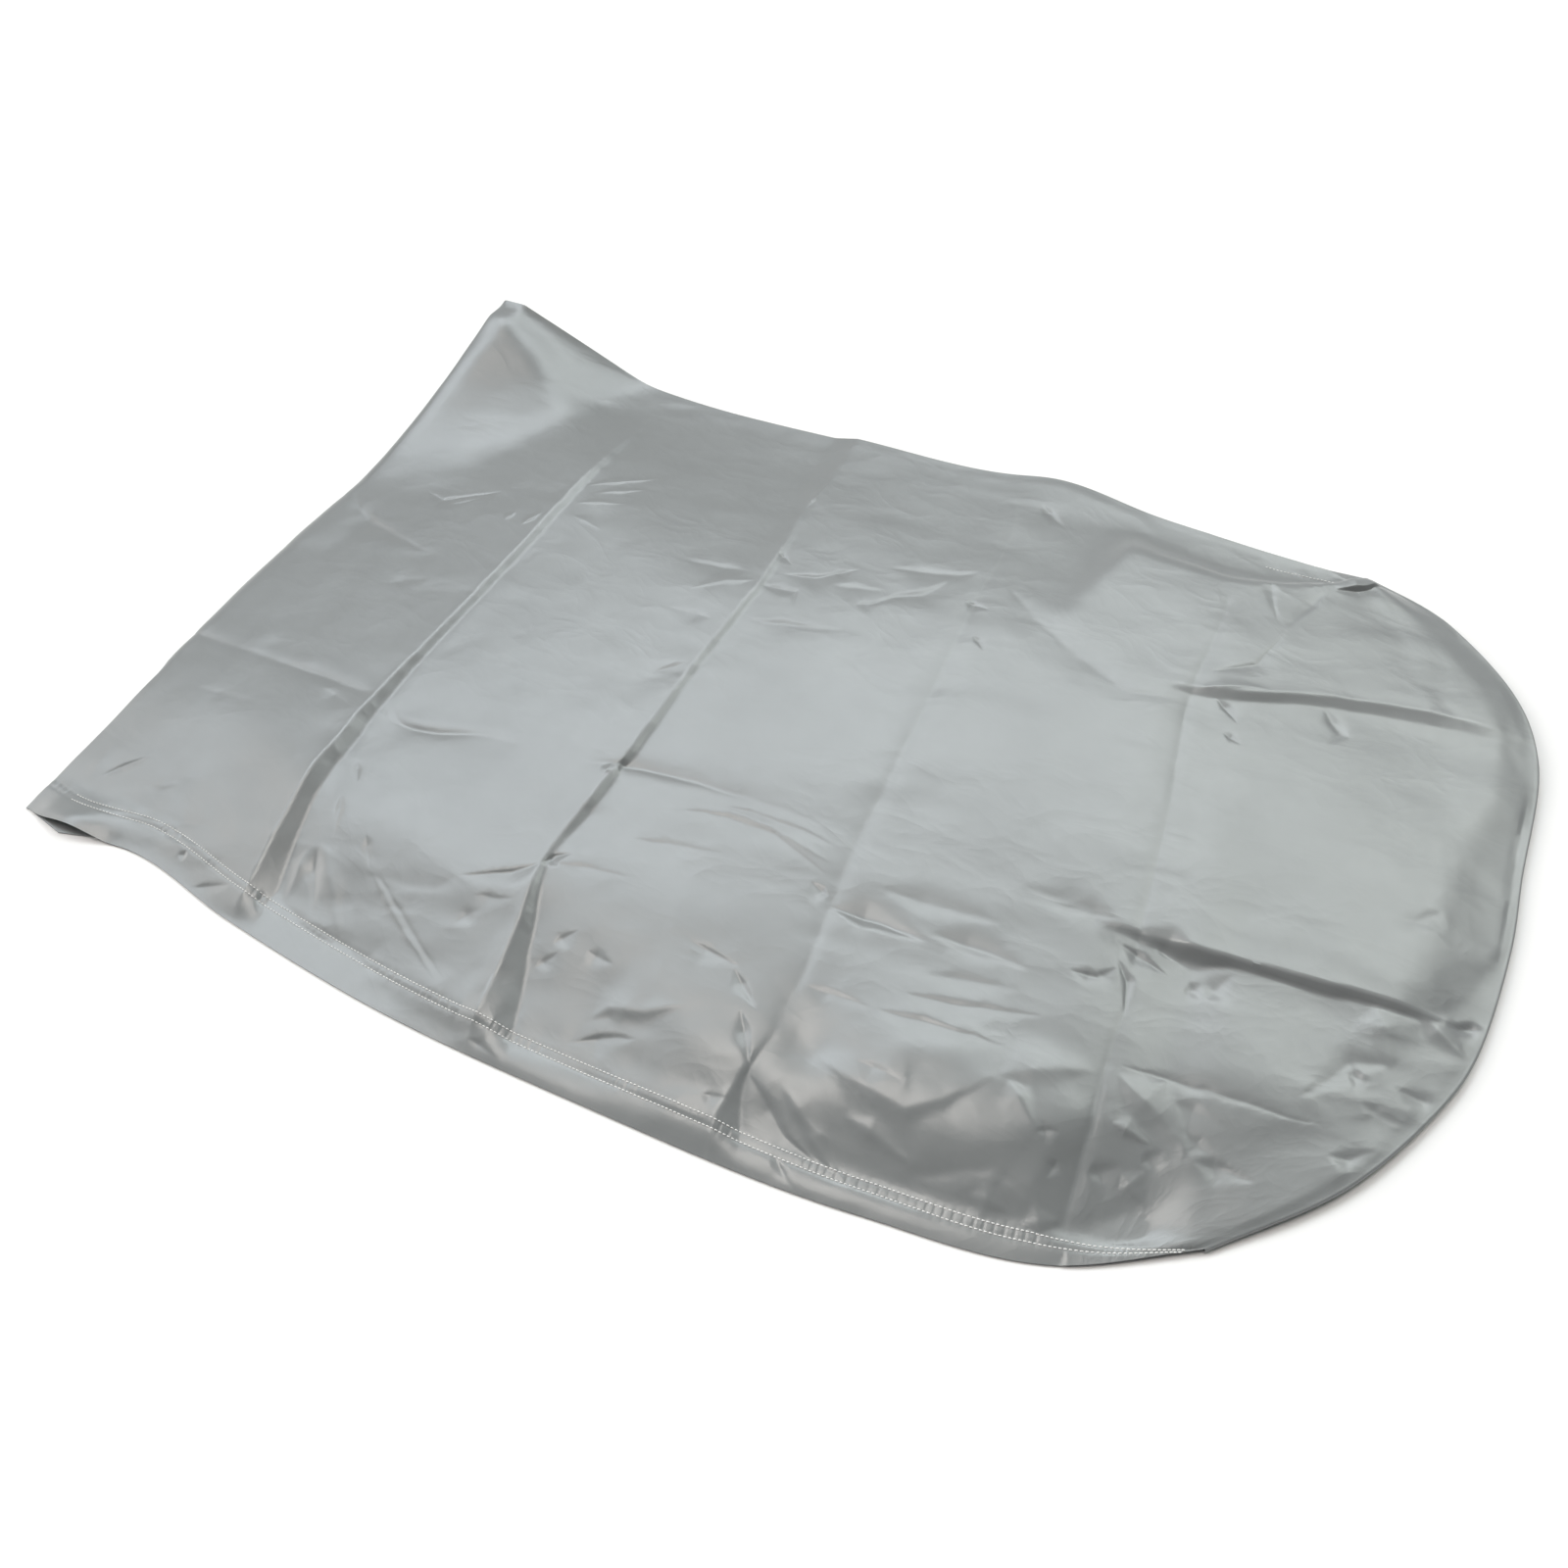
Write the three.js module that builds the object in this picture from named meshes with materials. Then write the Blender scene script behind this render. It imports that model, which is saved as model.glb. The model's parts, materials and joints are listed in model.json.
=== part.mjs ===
// A kayak cover of silver-grey coated polyester, doubled over and laid out on a flat surface.
// +X runs from the fold to the rounded bow end, +Y from the near hem to the far hem, +Z is up.
// It is one sheet: the lower half flat on the surface, the turn at the fold, the upper half with its
// creases, and the bow end rolled under itself. The hem is turned in along both long edges.
// Heights are those of the outer face, and the cloth's thickness lies inside it. Sizes in millimetres.

import * as THREE from "three";

// Cloth
const CLOTH = 2;
const HEM_CLOTH = 3.2;
const HEM_WIDTH = 40;
const HEM_STEP = 4;
const LAYER_GAP = 1.2;

// Bow end, rolled under itself
const ROLL_RADIUS = { corner: 4.2, middle: 8 };
const LIP_LENGTH = { corner: 10, middle: 105 };

// Lay of the upper half, whose hem lies on the lower one's
const DECK_HEIGHT = 33;
const HEM_HEIGHT = 2 * HEM_CLOTH + LAYER_GAP;
const FAR_FALL = 62;
const END_FALL = 150;
const END_HEIGHT = { corner: HEM_CLOTH + LAYER_GAP + 2 * ROLL_RADIUS.corner, middle: 24 };

// Fold, at the left, with its mouth open a little at the near hem
const FOLD_BULGE = 9;
const FOLD_MOUTH = { rise: 9, reach: 70 };

// Lower half, drawn in a little under the upper one, and the rows of points that it has
const LOWER_INSET = 12;
const INSET_REACH = 120;
const LOWER_BOW_SHARES = [1, 0.6, 0.25];
const LOWER_PLACES = [1288, 1100, 900, 700, 500, 330, 230, 150, 70, 0];

// Far corner of the fold, curled up from the surface
const CURL = { height: 84, from: 690, power: 1.4, reach: 110, widening: 0.42, lowerShare: 0.95 };

// Middle of the lay on the surface, where the origin goes
const LAY_CENTRE = { along: 849, across: 533 };

// Crease lines across the cover keep these distances from the rows of points beside them
const ROW_BEFORE_CREASE = 4;
const ROW_AFTER_CREASE = 6;

// Cells between the lines that the points follow
const CELLS = { span: 9, end: 10, roll: 6, lip: 3, fold: 6 };

// Outline of the long edges, seen from above
const NEAR_HEM = [
  { along: 0, across: 0 },
  { along: 60, across: -14 },
  { along: 150, across: -3 },
  { along: 330, across: -34 },
  { along: 550, across: -66 },
  { along: 800, across: -80 },
  { along: 1100, across: -82 },
  { along: 1288, across: -54 },
  { along: 1407, across: 7 },
];
const FAR_HEM = [
  { along: 0, across: 1152 },
  { along: 210, across: 1142 },
  { along: 420, across: 1110 },
  { along: 690, across: 1097 },
  { along: 930, across: 1099 },
  { along: 1010, across: 1121 },
  { along: 1180, across: 1085 },
  { along: 1492, across: 1055 },
];

// Outline of the rounded end, from the near hem to the far one
const BOW_END = [
  { along: 1407, across: 7 },
  { along: 1484, across: 75 },
  { along: 1566, across: 173 },
  { along: 1639, across: 316 },
  { along: 1684, across: 540 },
  { along: 1707, across: 760 },
  { along: 1674, across: 872 },
  { along: 1575, across: 997 },
  { along: 1492, across: 1055 },
];

// How far the upper half slopes down to the near hem
const NEAR_SKIRT = [
  { along: 0, width: 150 },
  { along: 315, width: 180 },
  { along: 655, width: 215 },
  { along: 966, width: 190 },
  { along: 1130, width: 125 },
  { along: 1288, width: 140 },
  { along: 1600, width: 170 },
];

// How far the far hem lies out on the surface beyond the slope of the upper half
const FAR_LEDGE = [
  { along: 0, width: 0 },
  { along: 960, width: 0 },
  { along: 1030, width: 40 },
  { along: 1440, width: 40 },
  { along: 1492, width: 6 },
];

// Places across the cover that columns of points follow
const SKIRT_LINE = 150;
const NEAR_CREASE = 314;
const MIDDLE_LINE = 520;
const FAR_CREASE = 716;
const FAR_SHOULDER = 930;

// Creases across the cover: where each lies, and the heights just before and after it
const CROSS_CREASES = [
  {
    name: "first",
    nominal: 315,
    reach: { before: 70, after: 45 },
    rows: [
      { across: -60, along: 348, before: 1, after: -1 },
      { across: 10, along: 340, before: 9, after: -7 },
      { across: 90, along: 322, before: 12, after: -12 },
      { across: 200, along: 302, before: 10, after: -10 },
      { across: 350, along: 308, before: 6, after: -6 },
      { across: 640, along: 319, before: 4, after: -4 },
      { across: 960, along: 326, before: 1, after: -1 },
      { across: 1110, along: 326, before: 0, after: 0 },
    ],
  },
  {
    name: "second",
    nominal: 655,
    reach: { before: 45, after: 45 },
    rows: [
      { across: -80, along: 684, before: 2, after: -1 },
      { across: -20, along: 668, before: 7, after: -7 },
      { across: 80, along: 648, before: 8, after: -9 },
      { across: 156, along: 629, before: 6, after: -5 },
      { across: 324, along: 650, before: 2, after: -2 },
      { across: 700, along: 676, before: 3, after: -2 },
      { across: 1060, along: 658, before: 1, after: -1 },
    ],
  },
  {
    name: "third",
    nominal: 966,
    reach: { before: 35, after: 40 },
    rows: [
      { across: -82, along: 977, before: 1, after: 2 },
      { across: -5, along: 948, before: -3, after: 4 },
      { across: 105, along: 963, before: 2, after: 6 },
      { across: 260, along: 960, before: 3, after: 5 },
      { across: 570, along: 968, before: 2, after: 4 },
      { across: 770, along: 972, before: 1, after: 3 },
      { across: 1000, along: 976, before: -2, after: 1 },
      { across: 1060, along: 960, before: 0, after: 0 },
    ],
  },
  {
    name: "fourth",
    nominal: 1288,
    reach: { before: 40, after: 45 },
    rows: [
      { across: -55, along: 1280, before: -1, after: 2 },
      { across: 40, along: 1282, before: -7, after: 5 },
      { across: 133, along: 1284, before: -5, after: 4 },
      { across: 300, along: 1286, before: -3, after: -2 },
      { across: 490, along: 1287, before: -2, after: -2 },
      { across: 694, along: 1281, before: -4, after: -3 },
      { across: 1000, along: 1304, before: -1, after: -1 },
    ],
  },
];

// Creases along the cover: where each lies, and the heights just nearer and just farther than it
const LONG_CREASES = [
  {
    name: "near crease, fold end",
    reach: { before: 40, after: 40 },
    rows: [
      { along: 0, across: 316, before: 0, after: 0 },
      { along: 90, across: 312, before: -4, after: -2 },
      { along: 280, across: 300, before: -3, after: -2 },
      { along: 480, across: 295, before: -3, after: -3 },
      { along: 780, across: 324, before: -2, after: -2 },
      { along: 950, across: 318, before: 0, after: 0 },
    ],
  },
  {
    name: "near crease, bow end",
    reach: { before: 55, after: 60 },
    rows: [
      { along: 1230, across: 312, before: 0, after: 0 },
      { along: 1330, across: 314, before: -5, after: 3 },
      { along: 1470, across: 324, before: -8, after: 5 },
      { along: 1570, across: 330, before: -7, after: 4 },
      { along: 1660, across: 350, before: 0, after: 0 },
    ],
  },
  {
    name: "far crease, bow end",
    reach: { before: 60, after: 70 },
    rows: [
      { along: 1230, across: 706, before: 0, after: 0 },
      { along: 1310, across: 718, before: -5, after: 3 },
      { along: 1443, across: 762, before: -4, after: 6 },
      { along: 1590, across: 788, before: -3, after: 6 },
      { along: 1700, across: 792, before: 0, after: 0 },
    ],
  },
];

// Broad hollows and swells of the upper half
const SWELLS = [
  { name: "hollow over near hem", along: 1140, across: -8, spanAlong: 95, spanAcross: 36, rise: -9 },
  { name: "swell above the hollow", along: 1120, across: 95, spanAlong: 110, spanAcross: 50, rise: 5 },
  { name: "dip by fourth crease", along: 1170, across: 740, spanAlong: 110, spanAcross: 60, rise: -5 },
  { name: "swell of the bow end", along: 1480, across: 540, spanAlong: 120, spanAcross: 120, rise: 6 },
];

const { clamp, lerp, smoothstep } = THREE.MathUtils;

// A smooth function through the rows of a table, giving all its other columns at a place
function through(rows, placeColumn) {
  const columns = Object.keys(rows[0]).filter((column) => column !== placeColumn);
  const places = rows.map((row) => row[placeColumn]);
  const values = rows.flatMap((row) => columns.map((column) => row[column]));
  const spline = new THREE.CubicInterpolant(places, values, columns.length);
  return (place) => {
    const found = Array.from(spline.evaluate(place));
    return Object.fromEntries(columns.map((column, index) => [column, found[index]]));
  };
}

const nearHem = through(NEAR_HEM, "along");
const farHem = through(FAR_HEM, "along");
const nearSkirt = through(NEAR_SKIRT, "along");
const farLedge = through(FAR_LEDGE, "along");
const crossCreases = CROSS_CREASES.map((crease) => ({ ...crease, at: through(crease.rows, "across") }));
const longCreases = LONG_CREASES.map((crease) => ({ ...crease, at: through(crease.rows, "along") }));
const bowEnd = new THREE.SplineCurve(BOW_END.map((row) => new THREE.Vector2(row.along, row.across)));

// Values that are small at the two ends of the bow's outline and full along its middle
function alongBow(size, share) {
  return lerp(size.corner, size.middle, Math.sqrt(Math.sin(Math.PI * share)));
}

// The bands of columns from hem to hem, each with its first place at a distance along the cover
const BANDS = [
  { start: (along) => nearHem(along).across, cells: 1 },
  { start: (along) => nearHem(along).across + HEM_WIDTH, cells: 1 },
  { start: (along) => nearHem(along).across + HEM_WIDTH + HEM_STEP, cells: 4 },
  { start: () => SKIRT_LINE, cells: 4 },
  { start: () => NEAR_CREASE, cells: 5 },
  { start: () => MIDDLE_LINE, cells: 5 },
  { start: () => FAR_CREASE, cells: 5 },
  { start: () => FAR_SHOULDER, cells: 4 },
  { start: (along) => farHem(along).across - HEM_WIDTH - HEM_STEP, cells: 1 },
  { start: (along) => farHem(along).across - HEM_WIDTH, cells: 1 },
];
const COLUMNS = BANDS.reduce((sum, band) => sum + band.cells, 0);

// Places of all columns at a distance along the cover, from hem to hem, drawn in by an inset
function columnPlaces(along, inset = 0) {
  const starts = BANDS.map((band) => band.start(along));
  starts.push(farHem(along).across);
  const places = BANDS.flatMap((band, index) =>
    Array.from({ length: band.cells }, (_, cell) =>
      lerp(starts[index], starts[index + 1], cell / band.cells)));
  places.push(starts.at(-1));
  const low = places[0];
  const high = places.at(-1);
  const shrink = 1 - (2 * inset) / (high - low);
  return places.map((place) => low + inset + (place - low) * shrink);
}

// One row of points seen from above, at a share of the way from one cross line to the next
function spanRow(startLine, endLine, share) {
  const nominal = columnPlaces(lerp(startLine.nominal, endLine.nominal, share));
  return nominal.map((across, column) => {
    const along = lerp(startLine.place(across), endLine.place(across), share);
    return new THREE.Vector2(along, columnPlaces(along)[column]);
  });
}

// The rounded end starts just past the fourth crease and fans out to its outline
const bowLine = {
  nominal: crossCreases.at(-1).nominal,
  place: (across) => crossCreases.at(-1).at(across).along + ROW_AFTER_CREASE,
};
const bowStart = spanRow(bowLine, bowLine, 0);
const bowWidth = bowStart.at(-1).y - bowStart[0].y;
const bowArcs = bowStart.map((point) => (point.y - bowStart[0].y) / bowWidth);
const bowOutward = bowArcs.map((arc) => {
  const tangent = bowEnd.getTangentAt(arc);
  return new THREE.Vector2(tangent.y, -tangent.x);
});

// Points of the rounded outline, drawn in by a distance that depends on the place along it
function bowOutline(drawIn) {
  return bowArcs.map((arc, column) =>
    bowEnd.getPointAt(arc).addScaledVector(bowOutward[column], -drawIn(arc)));
}

// One row of points in the rounded end, at a share of the way from its start to an outline
function bowRow(outline, share) {
  const row = bowStart.map((point, column) => point.clone().lerp(outline[column], share));
  const nearBow = nearHem(row[0].x).across - lerp(bowStart[0].y, BOW_END[0].across, share);
  const farBow = farHem(row.at(-1).x).across - lerp(bowStart.at(-1).y, BOW_END.at(-1).across, share);
  row.forEach((point, column) => {
    point.y += lerp(nearBow, farBow, bowArcs[column]);
  });
  return row;
}

// Height that the curled-up corner adds
function curlLift(along, across) {
  const rise = clamp((across - CURL.from) / (FAR_HEM[0].across - CURL.from), 0, 1);
  const reach = CURL.reach + CURL.widening * Math.max(0, across - CURL.from);
  const away = clamp(along / reach, 0, 1);
  return CURL.height * rise ** CURL.power * (0.5 + 0.5 * Math.cos(Math.PI * away));
}

// Height that one crease adds at a signed distance from its line
function creaseHeight(crease, found, distance) {
  const height = distance < 0 ? found.before : found.after;
  const reach = distance < 0 ? crease.reach.before : crease.reach.after;
  return height * Math.exp(-Math.abs(distance) / reach);
}

function creaseSum(along, across) {
  const cross = crossCreases.map((crease) => {
    const found = crease.at(across);
    return creaseHeight(crease, found, along - found.along);
  });
  const long = longCreases.map((crease) => {
    const found = crease.at(along);
    return creaseHeight(crease, found, across - found.across);
  });
  const broad = SWELLS.map((swell) => {
    const away = ((along - swell.along) / swell.spanAlong) ** 2;
    const aside = ((across - swell.across) / swell.spanAcross) ** 2;
    return swell.rise * Math.exp(-away - aside);
  });
  return [...cross, ...long, ...broad].reduce((sum, height) => sum + height, 0);
}

// Height of the upper half's outer face
function deckHeight(point, toNear, toFar) {
  const hem = HEM_HEIGHT + FOLD_MOUTH.rise * Math.exp(-point.x / FOLD_MOUTH.reach);
  const skirt = nearSkirt(point.x).width;
  const fromLedge = toFar - farLedge(point.x).width;
  const farShare = smoothstep(fromLedge, 0, FAR_FALL);
  const deckShare = smoothstep(toNear, HEM_WIDTH / 2, skirt) * farShare;
  const creaseShare = smoothstep(toNear, 0, HEM_WIDTH + skirt / 4) * farShare;
  const deck = lerp(hem, DECK_HEIGHT, deckShare) + creaseSum(point.x, point.y) * creaseShare;
  return Math.max(deck, HEM_HEIGHT) + curlLift(point.x, point.y);
}

function deckPoint(point, column, plan) {
  const height = deckHeight(point, point.distanceTo(plan[0]), point.distanceTo(plan.at(-1)));
  return new THREE.Vector3(point.x, point.y, height);
}

// Shares of a stretch, close together at both of its ends
function easedShares(cells) {
  return Array.from({ length: cells + 1 }, (_, cell) => 0.5 - 0.5 * Math.cos((Math.PI * cell) / cells));
}

// The upper half, row by row from the fold to the fourth crease
function spanRows() {
  const fold = { nominal: 0, place: () => 0 };
  const beside = (gap) => crossCreases.map((crease) => ({
    nominal: crease.nominal,
    place: (across) => crease.at(across).along + gap,
  }));
  const starts = [fold, ...beside(ROW_AFTER_CREASE)];
  const stops = beside(-ROW_BEFORE_CREASE);
  const plans = stops.flatMap((stop, span) =>
    easedShares(CELLS.span).map((share) => spanRow(starts[span], stop, share)));
  return plans.map((plan) => plan.map(deckPoint));
}

// The upper half from the fourth crease to where the rounded end starts to roll
function bowRows() {
  const outline = bowOutline((arc) => alongBow(ROLL_RADIUS, arc));
  return easedShares(CELLS.end).map((share) => {
    const row = bowRow(outline, share).map(deckPoint);
    row.forEach((point, column) => {
      const toEnd = Math.hypot(point.x - outline[column].x, point.y - outline[column].y);
      const endHeight = alongBow(END_HEIGHT, bowArcs[column]);
      point.z = lerp(endHeight, point.z, smoothstep(toEnd, 0, END_FALL));
    });
    return row;
  });
}

// The roll at the rounded end and the lip that it turns under, from the upper half's last row
function rolledRows(lastRow) {
  const turns = Array.from({ length: CELLS.roll }, (_, cell) => ((cell + 1) / CELLS.roll) * Math.PI);
  const lips = Array.from({ length: CELLS.lip }, (_, cell) => (cell + 1) / CELLS.lip);
  const moved = (point, column, out, down) => new THREE.Vector3(
    point.x + bowOutward[column].x * out,
    point.y + bowOutward[column].y * out,
    point.z - down,
  );
  const rolled = turns.map((turn) => lastRow.map((point, column) => {
    const radius = alongBow(ROLL_RADIUS, bowArcs[column]);
    return moved(point, column, radius * Math.sin(turn), radius * (1 - Math.cos(turn)));
  }));
  const lipped = lips.map((share) => rolled.at(-1).map((point, column) =>
    moved(point, column, -share * alongBow(LIP_LENGTH, bowArcs[column]), 0)));
  return [...rolled, ...lipped];
}

// The lower half, flat on the surface but for the curled corner, from its bow end to the fold
function lowerRows() {
  const outline = bowOutline(() => LOWER_INSET);
  const bowPlans = LOWER_BOW_SHARES.map((share) => {
    const row = bowRow(outline, share);
    const middle = row[0].clone().lerp(row.at(-1), 0.5);
    const shrink = (2 * LOWER_INSET) / row[0].distanceTo(row.at(-1));
    return row.map((point) => point.clone().lerp(middle, shrink));
  });
  const straightPlans = LOWER_PLACES.map((along) => {
    const inset = LOWER_INSET * smoothstep(along, 0, INSET_REACH);
    return columnPlaces(along, inset).map((across) => new THREE.Vector2(along, across));
  });
  return [...bowPlans, ...straightPlans].map((plan) => plan.map((point) =>
    new THREE.Vector3(point.x, point.y, CURL.lowerShare * curlLift(point.x, point.y))));
}

// The turn at the fold, between the last row of the lower half and the first of the upper half
function foldRows(lowRow, highRow) {
  const turns = Array.from({ length: CELLS.fold - 1 }, (_, cell) => ((cell + 1) / CELLS.fold) * Math.PI);
  return turns.map((turn) => lowRow.map((low, column) => {
    const high = highRow[column];
    const middle = low.clone().lerp(high, 0.5);
    const rise = (high.z - low.z) / 2;
    middle.x -= FOLD_BULGE * Math.sin(turn);
    middle.z -= rise * Math.cos(turn);
    return middle;
  }));
}

// Thickness of the cloth in each column: doubled where the hem is turned in
function columnThickness(column) {
  const inHem = column <= 1 || column >= COLUMNS - 1;
  return inHem ? HEM_CLOTH : CLOTH;
}

// A closed sheet: its outer face through the rows, its inner face a thickness inside, and its rims
function sheetGeometry(rows) {
  const rowCount = rows.length;
  const columnCount = rows[0].length;
  const outer = rows.flat();
  const inner = outer.map((point, index) => {
    const row = Math.floor(index / columnCount);
    const column = index % columnCount;
    const ahead = rows[Math.min(row + 1, rowCount - 1)][column];
    const behind = rows[Math.max(row - 1, 0)][column];
    const far = rows[row][Math.min(column + 1, columnCount - 1)];
    const near = rows[row][Math.max(column - 1, 0)];
    const outward = ahead.clone().sub(behind).cross(far.clone().sub(near)).normalize();
    return point.clone().addScaledVector(outward, -columnThickness(column));
  });
  const outerAt = (row, column) => row * columnCount + column;
  const innerAt = (row, column) => outer.length + outerAt(row, column);
  const triangles = [];
  const quad = (a, b, c, d) => triangles.push(a, b, c, a, c, d);
  for (let row = 0; row < rowCount - 1; row += 1) {
    for (let column = 0; column < columnCount - 1; column += 1) {
      quad(
        outerAt(row, column),
        outerAt(row + 1, column),
        outerAt(row + 1, column + 1),
        outerAt(row, column + 1),
      );
      quad(
        innerAt(row, column),
        innerAt(row, column + 1),
        innerAt(row + 1, column + 1),
        innerAt(row + 1, column),
      );
    }
  }
  const lastRow = rowCount - 1;
  const lastColumn = columnCount - 1;
  for (let row = 0; row < lastRow; row += 1) {
    quad(outerAt(row, 0), innerAt(row, 0), innerAt(row + 1, 0), outerAt(row + 1, 0));
    quad(
      outerAt(row + 1, lastColumn),
      innerAt(row + 1, lastColumn),
      innerAt(row, lastColumn),
      outerAt(row, lastColumn),
    );
  }
  for (let column = 0; column < lastColumn; column += 1) {
    quad(outerAt(0, column + 1), innerAt(0, column + 1), innerAt(0, column), outerAt(0, column));
    quad(
      outerAt(lastRow, column),
      innerAt(lastRow, column),
      innerAt(lastRow, column + 1),
      outerAt(lastRow, column + 1),
    );
  }
  const geometry = new THREE.BufferGeometry();
  const positions = [...outer, ...inner].flatMap((point) => point.toArray());
  geometry.setAttribute("position", new THREE.Float32BufferAttribute(positions, 3));
  geometry.setIndex(triangles);
  geometry.computeVertexNormals();
  return geometry;
}

function coverRows() {
  const lower = lowerRows();
  const deck = [...spanRows(), ...bowRows()];
  const fold = foldRows(lower.at(-1), deck[0]);
  const rolled = rolledRows(deck.at(-1));
  return [...lower, ...fold, ...deck, ...rolled];
}

const coatedPolyester = new THREE.MeshStandardMaterial({
  color: 0xb4b9ba,
  roughness: 0.5,
  metalness: 0,
});

const coverCloth = new THREE.Mesh(sheetGeometry(coverRows()), coatedPolyester);
coverCloth.name = "cover_cloth";
coverCloth.position.set(-LAY_CENTRE.along, -LAY_CENTRE.across, 0);

const cover = new THREE.Group();
cover.name = "kayak_cover";
cover.add(coverCloth);

export default cover;
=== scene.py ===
"""Looks of a kayak cover of silver-grey coated polyester, doubled over and laid out on a floor.

The cloth is one thin sheet: a lower half flat on the floor, the turn at the fold, an upper half with its
packing creases, and a bow end rolled under itself. Two rows of white stitching run along its hem.
"""

import json
import math

import bmesh
import bpy
import numpy as np
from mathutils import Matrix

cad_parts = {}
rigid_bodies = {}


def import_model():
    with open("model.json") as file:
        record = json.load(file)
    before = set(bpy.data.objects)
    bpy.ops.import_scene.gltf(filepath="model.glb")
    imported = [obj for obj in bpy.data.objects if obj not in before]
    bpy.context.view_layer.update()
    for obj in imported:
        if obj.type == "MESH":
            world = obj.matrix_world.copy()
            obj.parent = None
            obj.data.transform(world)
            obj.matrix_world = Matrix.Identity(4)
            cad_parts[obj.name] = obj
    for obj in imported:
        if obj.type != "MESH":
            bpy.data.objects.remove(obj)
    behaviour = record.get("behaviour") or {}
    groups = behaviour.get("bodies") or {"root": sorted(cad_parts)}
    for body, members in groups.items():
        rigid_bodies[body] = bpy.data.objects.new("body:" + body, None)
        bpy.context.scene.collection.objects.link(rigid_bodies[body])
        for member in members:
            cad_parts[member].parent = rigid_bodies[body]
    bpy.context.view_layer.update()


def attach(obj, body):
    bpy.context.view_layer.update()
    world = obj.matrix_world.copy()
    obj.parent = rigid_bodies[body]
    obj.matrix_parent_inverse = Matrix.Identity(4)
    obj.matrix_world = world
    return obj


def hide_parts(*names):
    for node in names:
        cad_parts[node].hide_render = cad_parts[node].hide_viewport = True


bl_info = {
    "name": "Kayak Cover",
    "version": (1, 0, 0),
    "blender": (4, 5, 0),
    "location": "View3D > Sidebar > Kayak Cover",
    "description": "Lays out the cloth of a doubled-over kayak cover and sews its hem",
    "category": "Add Mesh",
}

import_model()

# Places and heights below are in millimetres. Along is the distance from the fold, across the distance
# from the near hem's corner, and the origin of the model is at the middle of the lay.
MM = 0.001
LAY_CENTRE = (849, 533)

# Lengths of the cloth round the fold, in the rounded end, round its roll and in the lip under it
FOLD_RUN = 46
BOW_START = 1288
BOW_RUN = 400
ROLL_RUN = 24
LIP_RUN = 104
BOW_STOP = BOW_START + BOW_RUN

# Lay of the cloth: heights are those of the outer face
HEM_HEIGHT = 1.8
ROLL_RADIUS = (2.6, 2.7)
LIP_LENGTH = (10, 105)
MOUTH_RISE = 14
MOUTH_WIDTH = 140
MOUTH_BACK = 9
MOUTH_DEPTH = 60
LEAST_HEIGHT = 1.8
LOWER_INSET = 26
INSET_SPAN = (80, 200)
RAMP_ROUND = 0.25

# Far corner of the fold, curled up from the floor
CURL_HEIGHT = 98
CURL_FROM = 690
CURL_POWER = 1.4
CURL_REACH = 110
CURL_WIDENING = 0.36
CURL_TOP = 35
CURL_LOWER_SHARE = 0.95
CURL_SOFTNESS = 0.02

# Outlines of the long edges: along, across
NEAR_HEM = (
    (0, 0), (60, -14), (150, -3), (330, -37), (550, -68), (800, -80), (1100, -78), (1288, -51), (1407, 9),
)
FAR_HEM = (
    (0, 1152), (210, 1142), (420, 1118), (690, 1106), (930, 1104), (1010, 1121), (1180, 1087), (1494, 1061),
)

# Outline of the rounded end, from the near hem to the far one: along, across
BOW_END = (
    (1407, 9), (1523, 116), (1606, 238), (1636, 304), (1671, 454), (1684, 560), (1706, 760), (1678, 876),
    (1581, 1003), (1494, 1061),
)

# How far the cloth stands out round the fold: across, distance
FOLD_BULGE = (
    (0, 5), (150, 5), (240, 7), (265, 15), (430, 24), (570, 25), (770, 17), (960, 10), (1152, 8),
)

# Height of the upper half between its edges: along, height
DECK_HEIGHT = ((0, 18), (330, 32), (1250, 33), (1700, 19))

# How far the upper half slopes down to the near hem: along, width
NEAR_SKIRT = (
    (0, 260), (180, 250), (330, 210), (655, 215), (800, 180), (890, 120), (966, 115), (1060, 115),
    (1190, 110), (1288, 170), (1400, 235), (1600, 250),
)

# Height of the rounded end's rim, and how far the upper half slopes down to it: share of the end's outline
# from the near hem, height or width
END_HEIGHT = ((0, 6), (0.06, 10), (0.15, 11), (0.3, 9), (0.5, 10), (0.6, 11), (0.75, 15), (0.9, 16), (1, 6))
END_FALL = (
    (0, 200), (0.08, 150), (0.18, 120), (0.3, 110), (0.38, 95), (0.5, 85), (0.6, 60), (0.7, 50), (0.85, 60),
    (1, 60),
)

# How far the upper half slopes down towards the far hem: along, width
FAR_FALL = (
    (0, 60), (100, 100), (400, 420), (600, 500), (900, 500), (1000, 420), (1090, 320), (1150, 80), (1492, 30),
)

# How far the far hem lies out on the floor beyond that slope: along, width
FAR_LEDGE = ((0, 0), (960, 0), (1030, 60), (1135, 52), (1295, 68), (1371, 60), (1440, 40), (1492, 6))

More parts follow.
